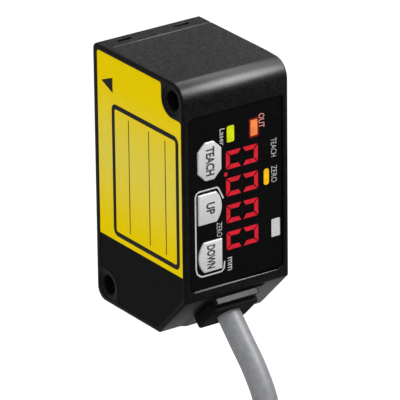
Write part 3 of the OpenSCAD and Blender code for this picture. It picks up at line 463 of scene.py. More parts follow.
class Bench:
    """Hand tools that the sub-assemblies share."""

    @staticmethod
    def clear() -> None:
        """Leaves nothing selected and no piece in edit mode."""
        if bpy.context.object and bpy.context.object.mode != "OBJECT":
            bpy.ops.object.mode_set(mode="OBJECT")
        bpy.ops.object.select_all(action="DESELECT")

    @classmethod
    def hold(cls, piece: bpy.types.Object) -> bpy.types.Object:
        """Makes a piece the only selected and the active one.

        Args:
            piece: Object to hold.

        Returns:
            The same object.
        """
        cls.clear()
        piece.select_set(True)
        bpy.context.view_layer.objects.active = piece
        return piece

    @classmethod
    def keep(cls, piece: bpy.types.Object, name: str, look: Look, body: str = ROOT_BODY) -> bpy.types.Object:
        """Finishes a piece: its place goes into the mesh, it is dressed and it rides with a body.

        Args:
            piece: Modelled object.
            name: Name of the finished piece.
            look: Its finish.
            body: Body that carries it.

        Returns:
            The finished object.
        """
        cls.hold(piece)
        bpy.ops.object.transform_apply(location=True, rotation=True, scale=True)
        piece.name = name
        piece.data.name = name
        look.dress(piece)
        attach(piece, body)
        log.info("%s: %d vertices", name, len(piece.data.vertices))
        return piece

    @classmethod
    def copy_of(cls, node: str, name: str) -> bpy.types.Object:
        """Copies a node's mesh and merges its doubled points and flat triangles.

        Args:
            node: Name of the node.
            name: Name of the copy.

        Returns:
            The merged copy, at the origin.
        """
        source = frame["nodes"][node]
        piece = bpy.data.objects.new(name, source.data.copy())
        bpy.context.scene.collection.objects.link(piece)
        cls.hold(piece)
        bpy.ops.object.mode_set(mode="EDIT")
        bpy.ops.mesh.select_all(action="SELECT")
        bpy.ops.mesh.remove_doubles(threshold=WELD_GAP * MM)
        bpy.ops.mesh.dissolve_limited(angle_limit=FLAT_ANGLE)
        bpy.ops.mesh.normals_make_consistent(inside=False)
        bpy.ops.object.mode_set(mode="OBJECT")
        return piece

    @classmethod
    def ease(cls, piece: bpy.types.Object, width: float, weigh: Callable[[Vector, Vector], float],
             segments: int = 3, angle: float = 32.0) -> None:
        """Rounds a piece's sharp edges, each by its own share of the widest round.

        Args:
            piece: Merged mesh object.
            width: Widest round in millimetres.
            weigh: Share of the width for an edge between two points, in millimetres.
            segments: Steps across each round.
            angle: Least angle of a sharp edge, in degrees.
        """
        mesh = bmesh.new()
        mesh.from_mesh(piece.data)
        layers = mesh.edges.layers.float
        layer = layers.get("bevel_weight_edge") or layers.new("bevel_weight_edge")
        for edge in mesh.edges:
            sharp = len(edge.link_faces) == 2 and edge.calc_face_angle(0.0) > math.radians(angle)
            ends = [vert.co / MM for vert in edge.verts]
            edge[layer] = weigh(*ends) if sharp else 0.0
        mesh.to_mesh(piece.data)
        mesh.free()
        cls.hold(piece)
        rounding = piece.modifiers.new("rounding", "BEVEL")
        rounding.limit_method = "WEIGHT"
        rounding.width = width * MM
        rounding.segments = segments
        rounding.use_clamp_overlap = False
        bpy.ops.object.modifier_apply(modifier=rounding.name)
        bpy.ops.object.shade_smooth_by_angle(angle=SHELL_SMOOTH)

    @staticmethod
    def all_alike(start: Vector, end: Vector) -> float:
        """Gives every edge the full round, wherever its ends lie."""
        return 1.0

    @classmethod
    def eased_copy(cls, node: str, name: str, look: Look, width: float,
                   weigh: Callable[[Vector, Vector], float], body: str = ROOT_BODY) -> bpy.types.Object:
        """Puts a dressed copy with rounded edges in the place of a node.

        Args:
            node: Name of the node.
            name: Name of the copy.
            look: Its finish.
            width: Widest round in millimetres.
            weigh: Share of the width for an edge between two points, in millimetres.
            body: Body that carries it.

        Returns:
            The finished copy.
        """
        piece = cls.copy_of(node, name)
        cls.ease(piece, width, weigh)
        cls.keep(piece, name, look, body)
        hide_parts(node)
        return piece

    @staticmethod
    def tube(name: str, points: Sequence[Point | Vector], diameter: float, steps: int,
             closed: bool = False) -> bpy.types.Object:
        """Makes a round bar along points.

        Args:
            name: Name of the bar.
            points: Middle line in millimetres.
            diameter: Diameter in millimetres.
            steps: Steps of each quarter of its section.
            closed: Whether the line comes back to its start.

        Returns:
            The bar as a curve object.
        """
        curve = bpy.data.curves.new(name, "CURVE")
        curve.dimensions = "3D"
        curve.bevel_depth = diameter / 2 * MM
        curve.bevel_resolution = steps
        curve.use_fill_caps = True
        line = curve.splines.new("POLY")
        line.points.add(len(points) - 1)
        for spot, point in zip(line.points, points):
            spot.co = (*(Vector(point) * MM), 1.0)
        line.use_cyclic_u = closed
        line.use_smooth = True
        piece = bpy.data.objects.new(name, curve)
        bpy.context.scene.collection.objects.link(piece)
        return piece

    @classmethod
    def stroke(cls, points: Sequence[Point], width: float, thickness: float, flat: str,
               closed: bool = False) -> bpy.types.Object:
        """Draws a line of ink along points and flattens it on its face.

        Args:
            points: Middle line in millimetres.
            width: Width of the line in millimetres.
            thickness: Height of the ink in millimetres.
            flat: Axis that the face looks along, X or Y.
            closed: Whether the line comes back to its start.

        Returns:
            The line as a mesh object.
        """
        cls.hold(cls.tube("stroke", points, width, LINE_STEPS, closed))
        bpy.ops.object.convert(target="MESH")
        piece = bpy.context.object
        bpy.ops.object.mode_set(mode="EDIT")
        bpy.ops.mesh.select_all(action="SELECT")
        level = Vector(points[0]) * MM
        squash = (thickness / width, 1, 1) if flat == "X" else (1, thickness / width, 1)
        bpy.ops.transform.resize(value=squash, center_override=level)
        bpy.ops.object.mode_set(mode="OBJECT")
        bpy.ops.object.shade_smooth_by_angle(angle=TUBE_SMOOTH)
        return piece

    @classmethod
    def patch(cls, corners: Sequence[Point], out: Point, rounding: float,
              thickness: float = 0.008) -> bpy.types.Object:
        """Lays a flat field of ink between corners, with round corners and a soft rim.

        Args:
            corners: Corners in millimetres, on the printed face.
            out: Direction out of the face.
            rounding: Radius of the corners in millimetres.
            thickness: Height of the ink in millimetres.

        Returns:
            The field as a mesh object.
        """
        mesh = bpy.data.meshes.new("patch")
        mesh.from_pydata([Vector(corner) * MM for corner in corners], [], [range(len(corners))])
        piece = bpy.data.objects.new("patch", mesh)
        bpy.context.scene.collection.objects.link(piece)
        cls.hold(piece)
        bpy.ops.object.mode_set(mode="EDIT")
        bpy.ops.mesh.select_all(action="SELECT")
        bpy.ops.mesh.bevel(offset=rounding * MM, segments=FIELD_STEPS, affect="VERTICES")
        bpy.ops.mesh.select_all(action="SELECT")
        bpy.ops.mesh.extrude_region_move(TRANSFORM_OT_translate={"value": Vector(out) * thickness * MM})
        bpy.ops.mesh.inset(thickness=thickness / 2 * MM)
        bpy.ops.transform.translate(value=Vector(out) * thickness / 2 * MM)
        bpy.ops.mesh.select_all(action="SELECT")
        bpy.ops.mesh.normals_make_consistent(inside=False)
        bpy.ops.object.mode_set(mode="OBJECT")
        return piece

    @classmethod
    def word(cls, legend: Legend, middle: Point) -> bpy.types.Object:
        """Sets a word that reads down the display face, fitted to its place.

        Args:
            legend: Word with its size.
            middle: Middle of the word in millimetres.

        Returns:
            The word as a mesh object.
        """
        cls.clear()
        bpy.ops.object.text_add()
        piece = bpy.context.object
        piece.data.body = legend.text
        piece.data.align_x = "CENTER"
        piece.data.align_y = "CENTER"
        piece.data.size = legend.height * MM
        piece.data.resolution_u = LETTER_STEPS
        piece.data.extrude = legend.half * MM
        piece.data.offset = legend.weight * legend.height * MM
        bpy.ops.object.convert(target="MESH")
        piece = bpy.context.object
        corners = [vert.co.copy() for vert in piece.data.vertices]
        low = Vector(tuple(min(c[i] for c in corners) for i in range(3)))
        high = Vector(tuple(max(c[i] for c in corners) for i in range(3)))
        span = high - low
        fit = Matrix.Diagonal((legend.length * MM / span.x, legend.height * MM / span.y, 1.0, 1.0))
        # The letters run down the face and look out of it along -Y.
        turn = Matrix(((0, 1, 0, 0), (0, 0, -1, 0), (-1, 0, 0, 0), (0, 0, 0, 1)))
        piece.matrix_world = (Matrix.Translation(Vector(middle) * MM) @ turn @ fit
                              @ Matrix.Translation(-(low + high) / 2))
        return piece


@dataclass
class Housing:
    """Cast body, front cover, gasket, window and cable gland.

    Attributes:
        width: Width of the body in millimetres.
        depth: Depth of the body in millimetres.
        height: Height of the body in millimetres.
        slant: Length of the slanted corner's legs in millimetres.
        crown: Radius of the display edge's round in millimetres.
        brow: Radius of the upper front corner in millimetres.
        toe: Radius of the lower front corner in millimetres.
        edge: Round of the outer edges in millimetres.
        cross: Round of the outline's edges that run across the body, in millimetres.
        wide: Least width of an edge that runs across the body, in millimetres.
        fine: Round of the small edges in millimetres.
        near: Distance that counts as lying on a line, in millimetres.
        round_near: Distance that counts as lying on a faceted round, in millimetres.
        rim: Round of the display recess's rim in millimetres.
        rim_half: Half of the width that holds the rim, in millimetres.
        rim_tall: Half of the height that holds the rim, in millimetres.
        rim_end: Height where the rim's lower corners begin, in millimetres.
        seat: Place of the cover's seat along the depth, in millimetres.
        ledge: Place of the seat's thin ledge across the width, in millimetres.
        gland_middle: Middle of the gland along the depth and the height, in millimetres.
        gland_rim: Distance of its outer rim from there along the cable, in millimetres.
        gland_edge: Round of that rim in millimetres.
        gland_fine: Round of the gland's other edges in millimetres.
    """

    width: float = 20.0
    depth: float = 25.0
    height: float = 44.0
    slant: float = 7.5
    crown: float = 3.1
    brow: float = 1.0
    toe: float = 2.2
    edge: float = 0.35
    cross: float = 0.245
    wide: float = 1.0
    fine: float = 0.05
    near: float = 0.02
    round_near: float = 0.06
    rim: float = 0.12
    rim_half: float = 9.5
    rim_tall: float = 15.2
    rim_end: float = -11.9
    seat: float = 8.5
    ledge: float = -18.7
    gland_middle: tuple[float, float] = (-8.75, -18.25)
    gland_rim: float = 1.85
    gland_edge: float = 0.3
    gland_fine: float = 0.03

    def on_outline(self, spot: Vector) -> bool:
        """Tells whether a point lies on the body's side outline.

        Args:
            spot: Point in millimetres.

        Returns:
            True on the outline.
        """
        back, top = self.depth / 2, self.height / 2
        flat = min(abs(abs(spot.y) - back), abs(abs(spot.z) - top)) < self.near
        slanted = abs(spot.y + spot.z + back + top - self.slant) < self.near
        rounds = ((self.crown, -1, 1), (self.brow, 1, 1), (self.toe, 1, -1))
        return flat or slanted or any(self.on_round(spot, *corner) for corner in rounds)

    def on_round(self, spot: Vector, radius: float, front: int, up: int) -> bool:
        """Tells whether a point lies on one of the outline's round corners.

        Args:
            spot: Point in millimetres.
            radius: Radius of the corner in millimetres.
            front: 1 at the front, -1 at the display.
            up: 1 at the top, -1 at the bottom.

        Returns:
            True on the round.
        """
        across = front * spot.y - self.depth / 2 + radius
        along = up * spot.z - self.height / 2 + radius
        off = abs(math.hypot(across, along) - radius)
        return min(across, along) > -self.near and off < self.round_near

    def weigh(self, start: Vector, end: Vector) -> float:
        """Gives the outer edges of the body the full round and the others a fine one.

        Args:
            start: First end of the edge in millimetres.
            end: Second end of the edge in millimetres.

        Returns:
            Share of the full round.
        """
        if self.on_ledge(start) and self.on_ledge(end):
            return 0.0
        for side in (-self.width, 0.0):
            if abs(start.x - side) < self.near and abs(end.x - side) < self.near:
                if self.on_outline(start) and self.on_outline(end):
                    return 1.0
        crosswise = abs(start.x - end.x) > self.wide
        if self.on_rim(start) and self.on_rim(end):
            low_corner = min(start.z, end.z) < self.rim_end and not crosswise
            return (self.fine if low_corner else self.rim) / self.edge
        along = crosswise and self.on_outline(start) and self.on_outline(end)
        return (self.cross if along else self.fine) / self.edge

    def on_ledge(self, spot: Vector) -> bool:
        """Tells whether a point lies on the thin ledge that is left of the cover's seat.

        Args:
            spot: Point in millimetres.

        Returns:
            True on the ledge, which is too narrow for a round.
        """
        return abs(spot.x - self.ledge) < self.near and abs(spot.y - self.seat) < self.near

    def on_rim(self, spot: Vector) -> bool:
        """Tells whether a point lies on the rim of the display's recess.

        Args:
            spot: Point in millimetres.

        Returns:
            True on the rim.
        """
        across, along = abs(spot.x - MIDDLE_X), abs(spot.z - PANEL_Z)
        return abs(spot.y + self.depth / 2) < self.near and across < self.rim_half and along < self.rim_tall

    def build(self) -> None:
        """Builds and dresses the housing."""
        for node, name, look, width, weigh in (
                ("case", "body_shell", Look.PAINT, self.edge, self.weigh),
                ("front_cover", "cover_shell", Look.COVER, self.fine, Bench.all_alike),
                ("cable_gland", "gland_boot", Look.RUBBER, self.gland_edge, self.weigh_gland)):
            Bench.eased_copy(node, name, look, width, weigh)
        Look.RUBBER.dress(frame["nodes"]["front_gasket"])
        Look.WINDOW.dress(frame["nodes"]["front_window"])

    def weigh_gland(self, start: Vector, end: Vector) -> float:
        """Gives the gland's outer rim the full round.

        Args:
            start: First end of the edge in millimetres.
            end: Second end of the edge in millimetres.

        Returns:
            Share of the full round.
        """
        middle = sum(self.gland_middle)
        out = [(middle - spot.y - spot.z) / math.sqrt(2) for spot in (start, end)]
        return 1.0 if min(out) > self.gland_rim else self.gland_fine / self.gland_edge


@dataclass
class SideLabel:
    """Printed film on the body's side.

    Attributes:
        stroke: Width of the frame's line in millimetres.
        ink: Height of the print in millimetres.
        low: Rear and lower corner of the frame in millimetres.
        high: Front and upper corner of the frame in millimetres.
        corner: Radius of the frame's corners in millimetres.
        corner_steps: Steps round each corner.
        rules: Places of the thin rules along the depth in millimetres.
        rule_width: Width of the rules in millimetres.
        rule_gap: Distance of their ends from the frame's edge in millimetres.
        arrow_place: Middle of the arrowhead, along the depth and the height in millimetres.
        arrow_size: Length and height of the arrowhead in millimetres.
        arrow_round: Radius of its corners in millimetres.
    """

    stroke: float = 0.83
    ink: float = 0.02
    low: tuple[float, float] = (-11.1, -9.3)
    high: tuple[float, float] = (7.4, 13.3)
    corner: float = 1.2
    corner_steps: int = 6
    rules: tuple[float, ...] = (2.7, -2.9, -7.4)
    rule_width: float = 0.22
    rule_gap: float = 1.6
    arrow_place: tuple[float, float] = (8.6, 16.28)
    arrow_size: tuple[float, float] = (3.2, 2.6)
    arrow_round: float = 0.08

    def outline(self) -> list[Point]:
        """Lists the frame's middle line.

        Returns:
            Points in millimetres.
        """
        inset = self.stroke / 2
        (y0, z0), (y1, z1) = self.low, self.high
        r = self.corner - inset
        middles = ((y1 - self.corner, z1 - self.corner, 0), (y0 + self.corner, z1 - self.corner, 90),
                   (y0 + self.corner, z0 + self.corner, 180), (y1 - self.corner, z0 + self.corner, 270))
        points = []
        for y, z, start in middles:
            for step in range(self.corner_steps + 1):
                turn = math.radians(start + FULL_TURN / 4 * step / self.corner_steps)
                points.append((LABEL_FACE - self.ink / 2, y + r * math.cos(turn), z + r * math.sin(turn)))
        return points

    def arrow(self) -> bpy.types.Object:
        """Models the arrowhead that points to the beam.

        Returns:
            The arrowhead.
        """
        y, z = self.arrow_place
        half = Vector(self.arrow_size) / 2
        corners = [(y + half.x, z), (y - half.x, z + half.y), (y - half.x, z - half.y)]
        return Bench.patch([(LABEL_FACE, *corner) for corner in corners], (-1, 0, 0), self.arrow_round)

    def build(self) -> None:
        """Builds the label and its print."""
        Look.LABEL.dress(frame["nodes"]["side_label"])
        border = Bench.stroke(self.outline(), self.stroke, self.ink, "X", closed=True)
        Bench.keep(border, "label_frame", Look.INK)
        Bench.keep(self.arrow(), "label_arrow", Look.INK)
        heights = (self.low[1] + self.rule_gap, self.high[1] - self.rule_gap)
        for number, place in enumerate(self.rules, 1):
            ends = [(LABEL_FACE - self.ink / 2, place, z) for z in heights]
            Bench.keep(Bench.stroke(ends, self.rule_width, self.ink, "X"), f"label_rule_{number}", Look.INK)


@dataclass
class DisplayFace:
    """Panel, digits, lamps, printed legends and the three keys.

    Attributes:
        legends: Words on the panel.
        key_words: Words on the keys, each with the key's name.
        key_edge: Round of the keys' front edges in millimetres.
        key_fine: Round of their other edges in millimetres.
        near: Distance that counts as lying on the keys' front, in millimetres.
        ink: Height of the print in millimetres.
        line_spots: Points of the line round the lower keys, across and along the panel in millimetres.
        line_width: Width of that line in millimetres.
        tag_place: Middle of the white field, across and along the panel in millimetres.
        tag_size: Its width and height in millimetres.
        tag_round: Radius of its corners in millimetres.
        halo: Width of the light round the output lamp in millimetres.
        halo_out: Distance of that light's middle line from the lamp in millimetres.
    """

    legends: tuple[Legend, ...] = (
        Legend("word_laser", "Laser", -2.4, 12.0, 2.8, 0.95),
        Legend("word_output", "OUT", 5.1, 13.0, 2.4, 1.1, look=Look.LIT_PRINT),
        Legend("word_teach", "TEACH", 7.4, 7.9, 3.1, 1.05, -0.014),
        Legend("word_zero", "ZERO", 7.45, 3.4, 2.8, 1.05, -0.014),
        Legend("word_zero_key", "ZERO", -3.1, -3.45, 2.4, 1.0, -0.014),
        Legend("word_unit", "mm", -1.15, -9.8, 2.2, 0.82),
    )
    key_words: tuple[tuple[str, Legend], ...] = (
        ("teach", Legend("key_word_teach", "TEACH", -4.9, 8.6, 4.8, 1.65, 0.035, Look.KEY_INK)),
        ("up", Legend("key_word_up", "UP", -4.9, 0.65, 2.0, 1.65, 0.035, Look.KEY_INK)),
        ("down", Legend("key_word_down", "DOWN", -4.9, -7.55, 4.0, 1.6, 0.035, Look.KEY_INK)),
    )
    key_edge: float = 0.16
    key_fine: float = 0.024
    near: float = 0.02
    ink: float = 0.012
    line_spots: tuple[tuple[float, float], ...] = (
        (-2.3, 1.65), (-3.15, 3.45), (-3.5, 3.8), (-6.9, 3.8), (-7.4, 3.55), (-7.6, 3.0), (-7.6, -9.2),
        (-7.4, -10.0), (-6.9, -10.5), (-6.4, -10.7), (-2.75, -10.7), (-2.3, -10.3), (-2.15, -9.1))
    line_width: float = 0.26
    tag_place: tuple[float, float] = (7.72, -5.8)
    tag_size: tuple[float, float] = (1.65, 3.05)
    tag_round: float = 0.12
    halo: float = 0.3
    halo_out: float = 0.1

    def print_word(self, legend: Legend, face: float, body: str) -> None:
        """Prints one word.

        Args:
            legend: Word with its place and ink.
            face: Depth of the printed face in millimetres.
            body: Body that carries it.
        """
        word = Bench.word(legend, (MIDDLE_X + legend.x, face - legend.out, legend.z))
        Bench.keep(word, legend.name, legend.look, body)

    def keys_line(self) -> bpy.types.Object:
        """Draws the printed line round the lower keys.

        Returns:
            The line.
        """
        points = [(MIDDLE_X + x, PANEL_FACE - self.ink / 2, z) for x, z in self.line_spots]
        return Bench.stroke(points, self.line_width, self.ink, "Y")

    def weigh_key(self, start: Vector, end: Vector) -> float:
        """Gives a key's front edges the full round.

        Args:
            start: First end of the edge in millimetres.
            end: Second end of the edge in millimetres.

        Returns:
            Share of the full round.
        """
        in_front = max(start.y, end.y) < KEY_FACE + self.near
        return 1.0 if in_front else self.key_fine / self.key_edge

    def tag(self) -> bpy.types.Object:
        """Prints the plain white field beside the lowest lamp.

        Returns:
            The field.
        """
        x, z = self.tag_place
        half = Vector(self.tag_size) / 2
        corners = [(x + i * half.x, z + j * half.y) for i, j in ((-1, -1), (1, -1), (1, 1), (-1, 1))]
        return Bench.patch([(MIDDLE_X + u, PANEL_FACE, v) for u, v in corners], (0, -1, 0), self.tag_round)

    def lamp_halo(self) -> bpy.types.Object:
        """Draws the light that the output lamp sheds on the panel round it.

        Returns:
            The ring of light.
        """
        low, high = (Vector(corner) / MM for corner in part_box("output_lamp"))
        out = self.halo_out
        sides = [(low.x, high.z + out), (high.x, high.z + out), (high.x + out, high.z),
                 (high.x + out, low.z), (high.x, low.z - out), (low.x, low.z - out),
                 (low.x - out, low.z), (low.x - out, high.z)]
        points = [(x, PANEL_FACE - self.ink / 2, z) for x, z in sides]
        return Bench.stroke(points, self.halo, self.ink, "Y", closed=True)

    def build(self) -> None:
        """Builds and dresses the display face."""
        nodes = frame["nodes"]
        Look.PANEL.dress(nodes["display_panel"])
        for node, look in (
                ("digit_display", Look.DARK), ("lit_segments", Look.RED), ("dark_segments", Look.UNLIT),
                ("laser_lamp", Look.GREEN), ("output_lamp", Look.ORANGE), ("zero_lamp", Look.AMBER),
                ("teach_lamp", Look.UNLIT), ("mode_lamp", Look.UNLIT), ("lamp_chips", Look.PALE)):
            look.dress(nodes[node])
        for legend in self.legends:
            self.print_word(legend, PANEL_FACE, ROOT_BODY)
        Bench.keep(self.tag(), "white_tag", Look.PRINT)
        Bench.keep(self.lamp_halo(), "output_halo", Look.HALO)
        Bench.keep(self.keys_line(), "keys_line", Look.PRINT)
        for key, legend in self.key_words:
            body = f"{key}_button"
            Bench.eased_copy(f"{key}_key", f"{key}_cap", Look.KEYS, self.key_edge, self.weigh_key, body)
            self.print_word(legend, KEY_FACE, body)


@dataclass
class Inside:
    """Boards, optics and fixings inside the body.

    Attributes:
        looks: Finish of each inner node.
    """

    looks: dict[str, Look] = field(default_factory=lambda: {
        "teach_plunger": Look.DARK, "up_plunger": Look.DARK, "down_plunger": Look.DARK,
        "key_switches": Look.DARK, "display_board": Look.BOARD, "display_screws": Look.STEEL,
        "board_socket": Look.PALE, "main_board": Look.BOARD, "board_chips": Look.DARK,
        "main_screws": Look.STEEL, "chassis": Look.CHASSIS, "chassis_screws": Look.STEEL,
        "laser_holder": Look.BRASS, "laser_diode": Look.BRASS, "collimator_lens": Look.LENS,
        "receiver_lens": Look.LENS, "lens_ring": Look.DARK, "fold_mirror": Look.MIRROR,
        "sensor_board": Look.BOARD, "image_sensor": Look.DARK, "core_connector": Look.PALE,
        "cable_cores": Look.BROWN, "cable_clamp": Look.STEEL,
    })

    def build(self) -> None:
        """Dresses the inner pieces."""
        for node, look in self.looks.items():
            look.dress(frame["nodes"][node])
        log.info("inside: %d nodes dressed", len(self.looks))


@dataclass(frozen=True)
class Winding:
    """One sideways or outward step of the coil's turns.

    Attributes:
        start: Angle where it begins, in degrees.
        span: Angle that it takes, in degrees.
        column: Columns that it moves.
        layer: Layers that it climbs.
    """

    start: float
    span: float
    column: int
    layer: int

    def share(self, angle: float) -> float:
        """Tells how much of the step is done at an angle.

        Args:
            angle: Angle along the coil in degrees.

        Returns:
            Share from 0 to 1.
        """
        part = min(1.0, max(0.0, (angle - self.start) / self.span))
        return part * part * (3 - 2 * part)


@dataclass
class Cable:
    """Cable from the gland to the bared leads, with its coil and ties.

    Attributes:
        diameter: Cable's diameter in millimetres.
        pitch: Distance between neighbouring turns in millimetres.
        turn: Radius of the innermost turns in millimetres.
        middle: Middle of the coil's ring in millimetres.
        first_column: Place of the first turn beside that middle, in pitches.
        first_angle: Angle where the coil begins, in degrees.
        last_angle: Angle where the coil ends, in degrees.
        shifts: Sideways steps of each layer: angle of the first, number of them and direction.
        climbs: Angles where the next layer begins, in degrees.
        shift_span: Angle that a sideways step takes, in degrees.
        climb_span: Angle that a climb takes, in degrees.
        section_steps: Steps of each quarter of the cable's and the leads' section.
        tie_edge: Round of the ties' edges in millimetres.
        lead_ring: Distance of the leads from the cable's middle at its end, in millimetres.
        lead_start: Distance of the leads' beginning from that end, in millimetres.
        lead_splay: Angle by which the leads spread, in degrees.
        lead_width: Diameter of each lead's sleeve in millimetres.
        lead_length: Length of each lead's sleeve in millimetres.
        tip_width: Diameter of each tinned tip in millimetres.
        tip_length: Length of each tinned tip in millimetres.
        lead_parts: Pieces along each sleeve and tip.
        exit: Place where the cable leaves the gland, in millimetres.
        route: Points of the cable from inside the gland to the coil, in millimetres.
        route_parts: Pieces of the smooth line between two points of the route.
        tail: Points of the cable after the coil, in millimetres.
        tail_parts: Pieces of the smooth line between two points of the tail.
    """

    diameter: float = 4.0
    pitch: float = 4.1
    turn: float = 18.0
    middle: Point = (-8.4, -23.0, -88.0)
    first_column: float = -2.5
    first_angle: float = 90.0
    last_angle: float = 4725.0
    shifts: tuple[tuple[float, int, int], ...] = (
        (90, 4, 1), (1730, 3, -1), (3000, 3, 1), (4070, 2, -1))
    climbs: tuple[float, ...] = (1470, 2740, 4010)
    shift_span: float = 100.0
    climb_span: float = 60.0
    section_steps: int = 6
    tie_edge: float = 0.2
    lead_ring: float = 1.1
    lead_start: float = 0.3
    lead_splay: float = 5.0
    lead_width: float = 1.1
    lead_length: float = 18.0
    tip_width: float = 0.7
    tip_length: float = 6.0
    lead_parts: int = 4
    exit: Point = (-10.0, -10.1, -19.6)
    route: tuple[Point, ...] = (
        (-10, -5.75, -15.25), (-10, -10.75, -20.25), (-10, -14, -23.5), (-10, -17, -26.5),
        (-10.2, -20.2, -30.6), (-10.7, -22.2, -35.4), (-11.6, -22.9, -40.6), (-13.2, -21.8, -47.1),
        (-15, -18.7, -52.9), (-17, -14, -57.3), (-18.3, -9.2, -61.7), (-18.6, -6.1, -67.5),
        (-18.6, -5, -74), (-18.6, -5, -81), (-18.6, -5, -88))
    route_parts: int = 4
    tail: tuple[Point, ...] = (
        (-10.4, 4, -73), (-10.4, 8.1, -80.2), (-10.4, 10.6, -87.4), (-10.4, 11.4, -94.5))
    tail_parts: int = 5

    def windings(self) -> list[Winding]:
        """Lists the coil's steps.

        Returns:
            Steps in the order of the winding.
        """
        steps = [Winding(start, self.climb_span, 0, 1) for start in self.climbs]
        for start, count, column in self.shifts:
            steps += [Winding(start + FULL_TURN * k, self.shift_span, column, 0) for k in range(count)]
        return sorted(steps, key=lambda step: step.start)

    def coil(self, every: float = 7.5) -> list[Vector]:
        """Lists the coil's middle line after its first point.

        Args:
            every: Angle between points in degrees.

        Returns:
            Points in millimetres.
        """
        steps = self.windings()
        first = self.middle[0] + self.first_column * self.pitch
        points = []
        count = round((self.last_angle - self.first_angle) / every)
        for number in range(1, count + 1):
            angle = self.first_angle + number * every
            x = first + self.pitch * sum(step.column * step.share(angle) for step in steps)
            radius = self.turn + self.pitch * sum(step.layer * step.share(angle) for step in steps)
            y = self.middle[1] + radius * math.sin(math.radians(angle))
            z = self.middle[2] + radius * math.cos(math.radians(angle))
            points.append(Vector((x, y, z)))
        return points

    @staticmethod
    def smooth(points: Sequence[Vector], parts: int) -> list[Vector]:
        """Runs a smooth line through points.

        Args:
            points: Points to pass, with one more at each end to steer by.
            parts: Pieces between each pair of points.

        Returns:
            The line from the second point to the last but one.
        """
        line = [points[1].copy()]
        for a, b, c, d in zip(points, points[1:], points[2:], points[3:]):
            for k in range(1, parts + 1):
                t = k / parts
                line.append(0.5 * (2 * b + (c - a) * t + (2 * a - 5 * b + 4 * c - d) * t * t
                                   + (3 * b - a - 3 * c + d) * t ** 3))
        return line

    def path(self) -> list[Vector]:
        """Lists the whole cable's middle line.

        Returns:
            Points in millimetres, from inside the gland to the tail's end.
        """
        route = [Vector(p) for p in self.route]
        coil = self.coil()
        tail = [Vector(p) for p in self.tail]
        begin = self.smooth([2 * route[0] - route[1], *route, coil[0]], self.route_parts)
        end = self.smooth([coil[-2], coil[-1], *tail, 2 * tail[-1] - tail[-2]], self.tail_parts)
        return begin + coil + end[1:]

    def leads(self) -> list[bpy.types.Object]:
        """Makes the five leads and their tips.

        Returns:
            The finished pieces.
        """
        end = Vector(self.tail[-1])
        splay = math.radians(self.lead_splay)
        pieces = []
        looks = {"brown": Look.BROWN, "blue": Look.BLUE, "black": Look.BLACK, "grey": Look.GREY,
                 "pink": Look.PINK}
        for number, (name, look) in enumerate(looks.items()):
            turn = math.radians(FULL_TURN / len(looks) * number)
            out = Vector((math.cos(turn), math.sin(turn), 0))
            run = out * math.sin(splay) + Vector((0, 0, -math.cos(splay)))
            start = end + self.lead_ring * out + self.lead_start * run
            for part, begin, length, width, finish in (
                    ("lead", 0.0, self.lead_length, self.lead_width, look),
                    ("tip", self.lead_length, self.tip_length, self.tip_width, Look.STEEL)):
                steps = [length * k / self.lead_parts for k in range(self.lead_parts + 1)]
                spots = [start + run * (begin + step) for step in steps]
                Bench.hold(Bench.tube(f"{part}_{name}", spots, width, self.section_steps))
                bpy.ops.object.convert(target="MESH")
                bar = Bench.hold(bpy.context.object)
                bpy.ops.object.shade_smooth_by_angle(angle=TUBE_SMOOTH)
                pieces.append(Bench.keep(bar, f"{part}_{name}", finish))
        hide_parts("lead_wires")
        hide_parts("lead_tips")
        return pieces

    def build(self) -> None:
        """Builds the cable, its ties and leads."""
        path = self.path()
        length = sum((b - a).length for a, b in zip(path, path[1:]))
        log.info("cable: %d points, %.1f mm", len(path), length)
        cord = Bench.tube("cable_cord", path, self.diameter, self.section_steps)
        Look.JACKET.dress(cord)
        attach(cord, ROOT_BODY)
        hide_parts("cable", "cable_coil", "cable_tail")
        ties = Bench.eased_copy("cable_ties", "coil_ties", Look.TIES, self.tie_edge, Bench.all_alike)
        pieces = [ties, *self.leads()]
        tuple(Vector(self.exit) * MM)


@dataclass(frozen=True)
class Lamp:
    """A soft light that faces the sensor.

    Attributes:
        name: Name of the light.
        way: Direction from the sensor to the light.
        distance: Distance in metres.
        size: Width and height in metres.
        power: Power in watts.
        aim: Point that a light which only shows as a reflection faces, in metres.
    """

    name: str
    way: Point
    distance: float
    size: tuple[float, float]
    power: float
    aim: Point | None = None

    def hang(self, target: Point) -> None:
        """Hangs the light.

        Args:
            target: Point that it faces if it has no aim of its own, in metres.
        """
        data = bpy.data.lights.new(self.name, "AREA")
        data.shape = "RECTANGLE"
        data.size, data.size_y = self.size
        data.energy = self.power
        light = bpy.data.objects.new(self.name, data)
        light.visible_camera = False
        light.visible_diffuse = self.aim is None
        ahead = Vector(self.way).normalized()
        light.matrix_world = (Matrix.Translation(Vector(self.aim or target) + ahead * self.distance)
                              @ ahead.to_track_quat("Z", "Y").to_matrix().to_4x4())
        bpy.context.scene.collection.objects.link(light)


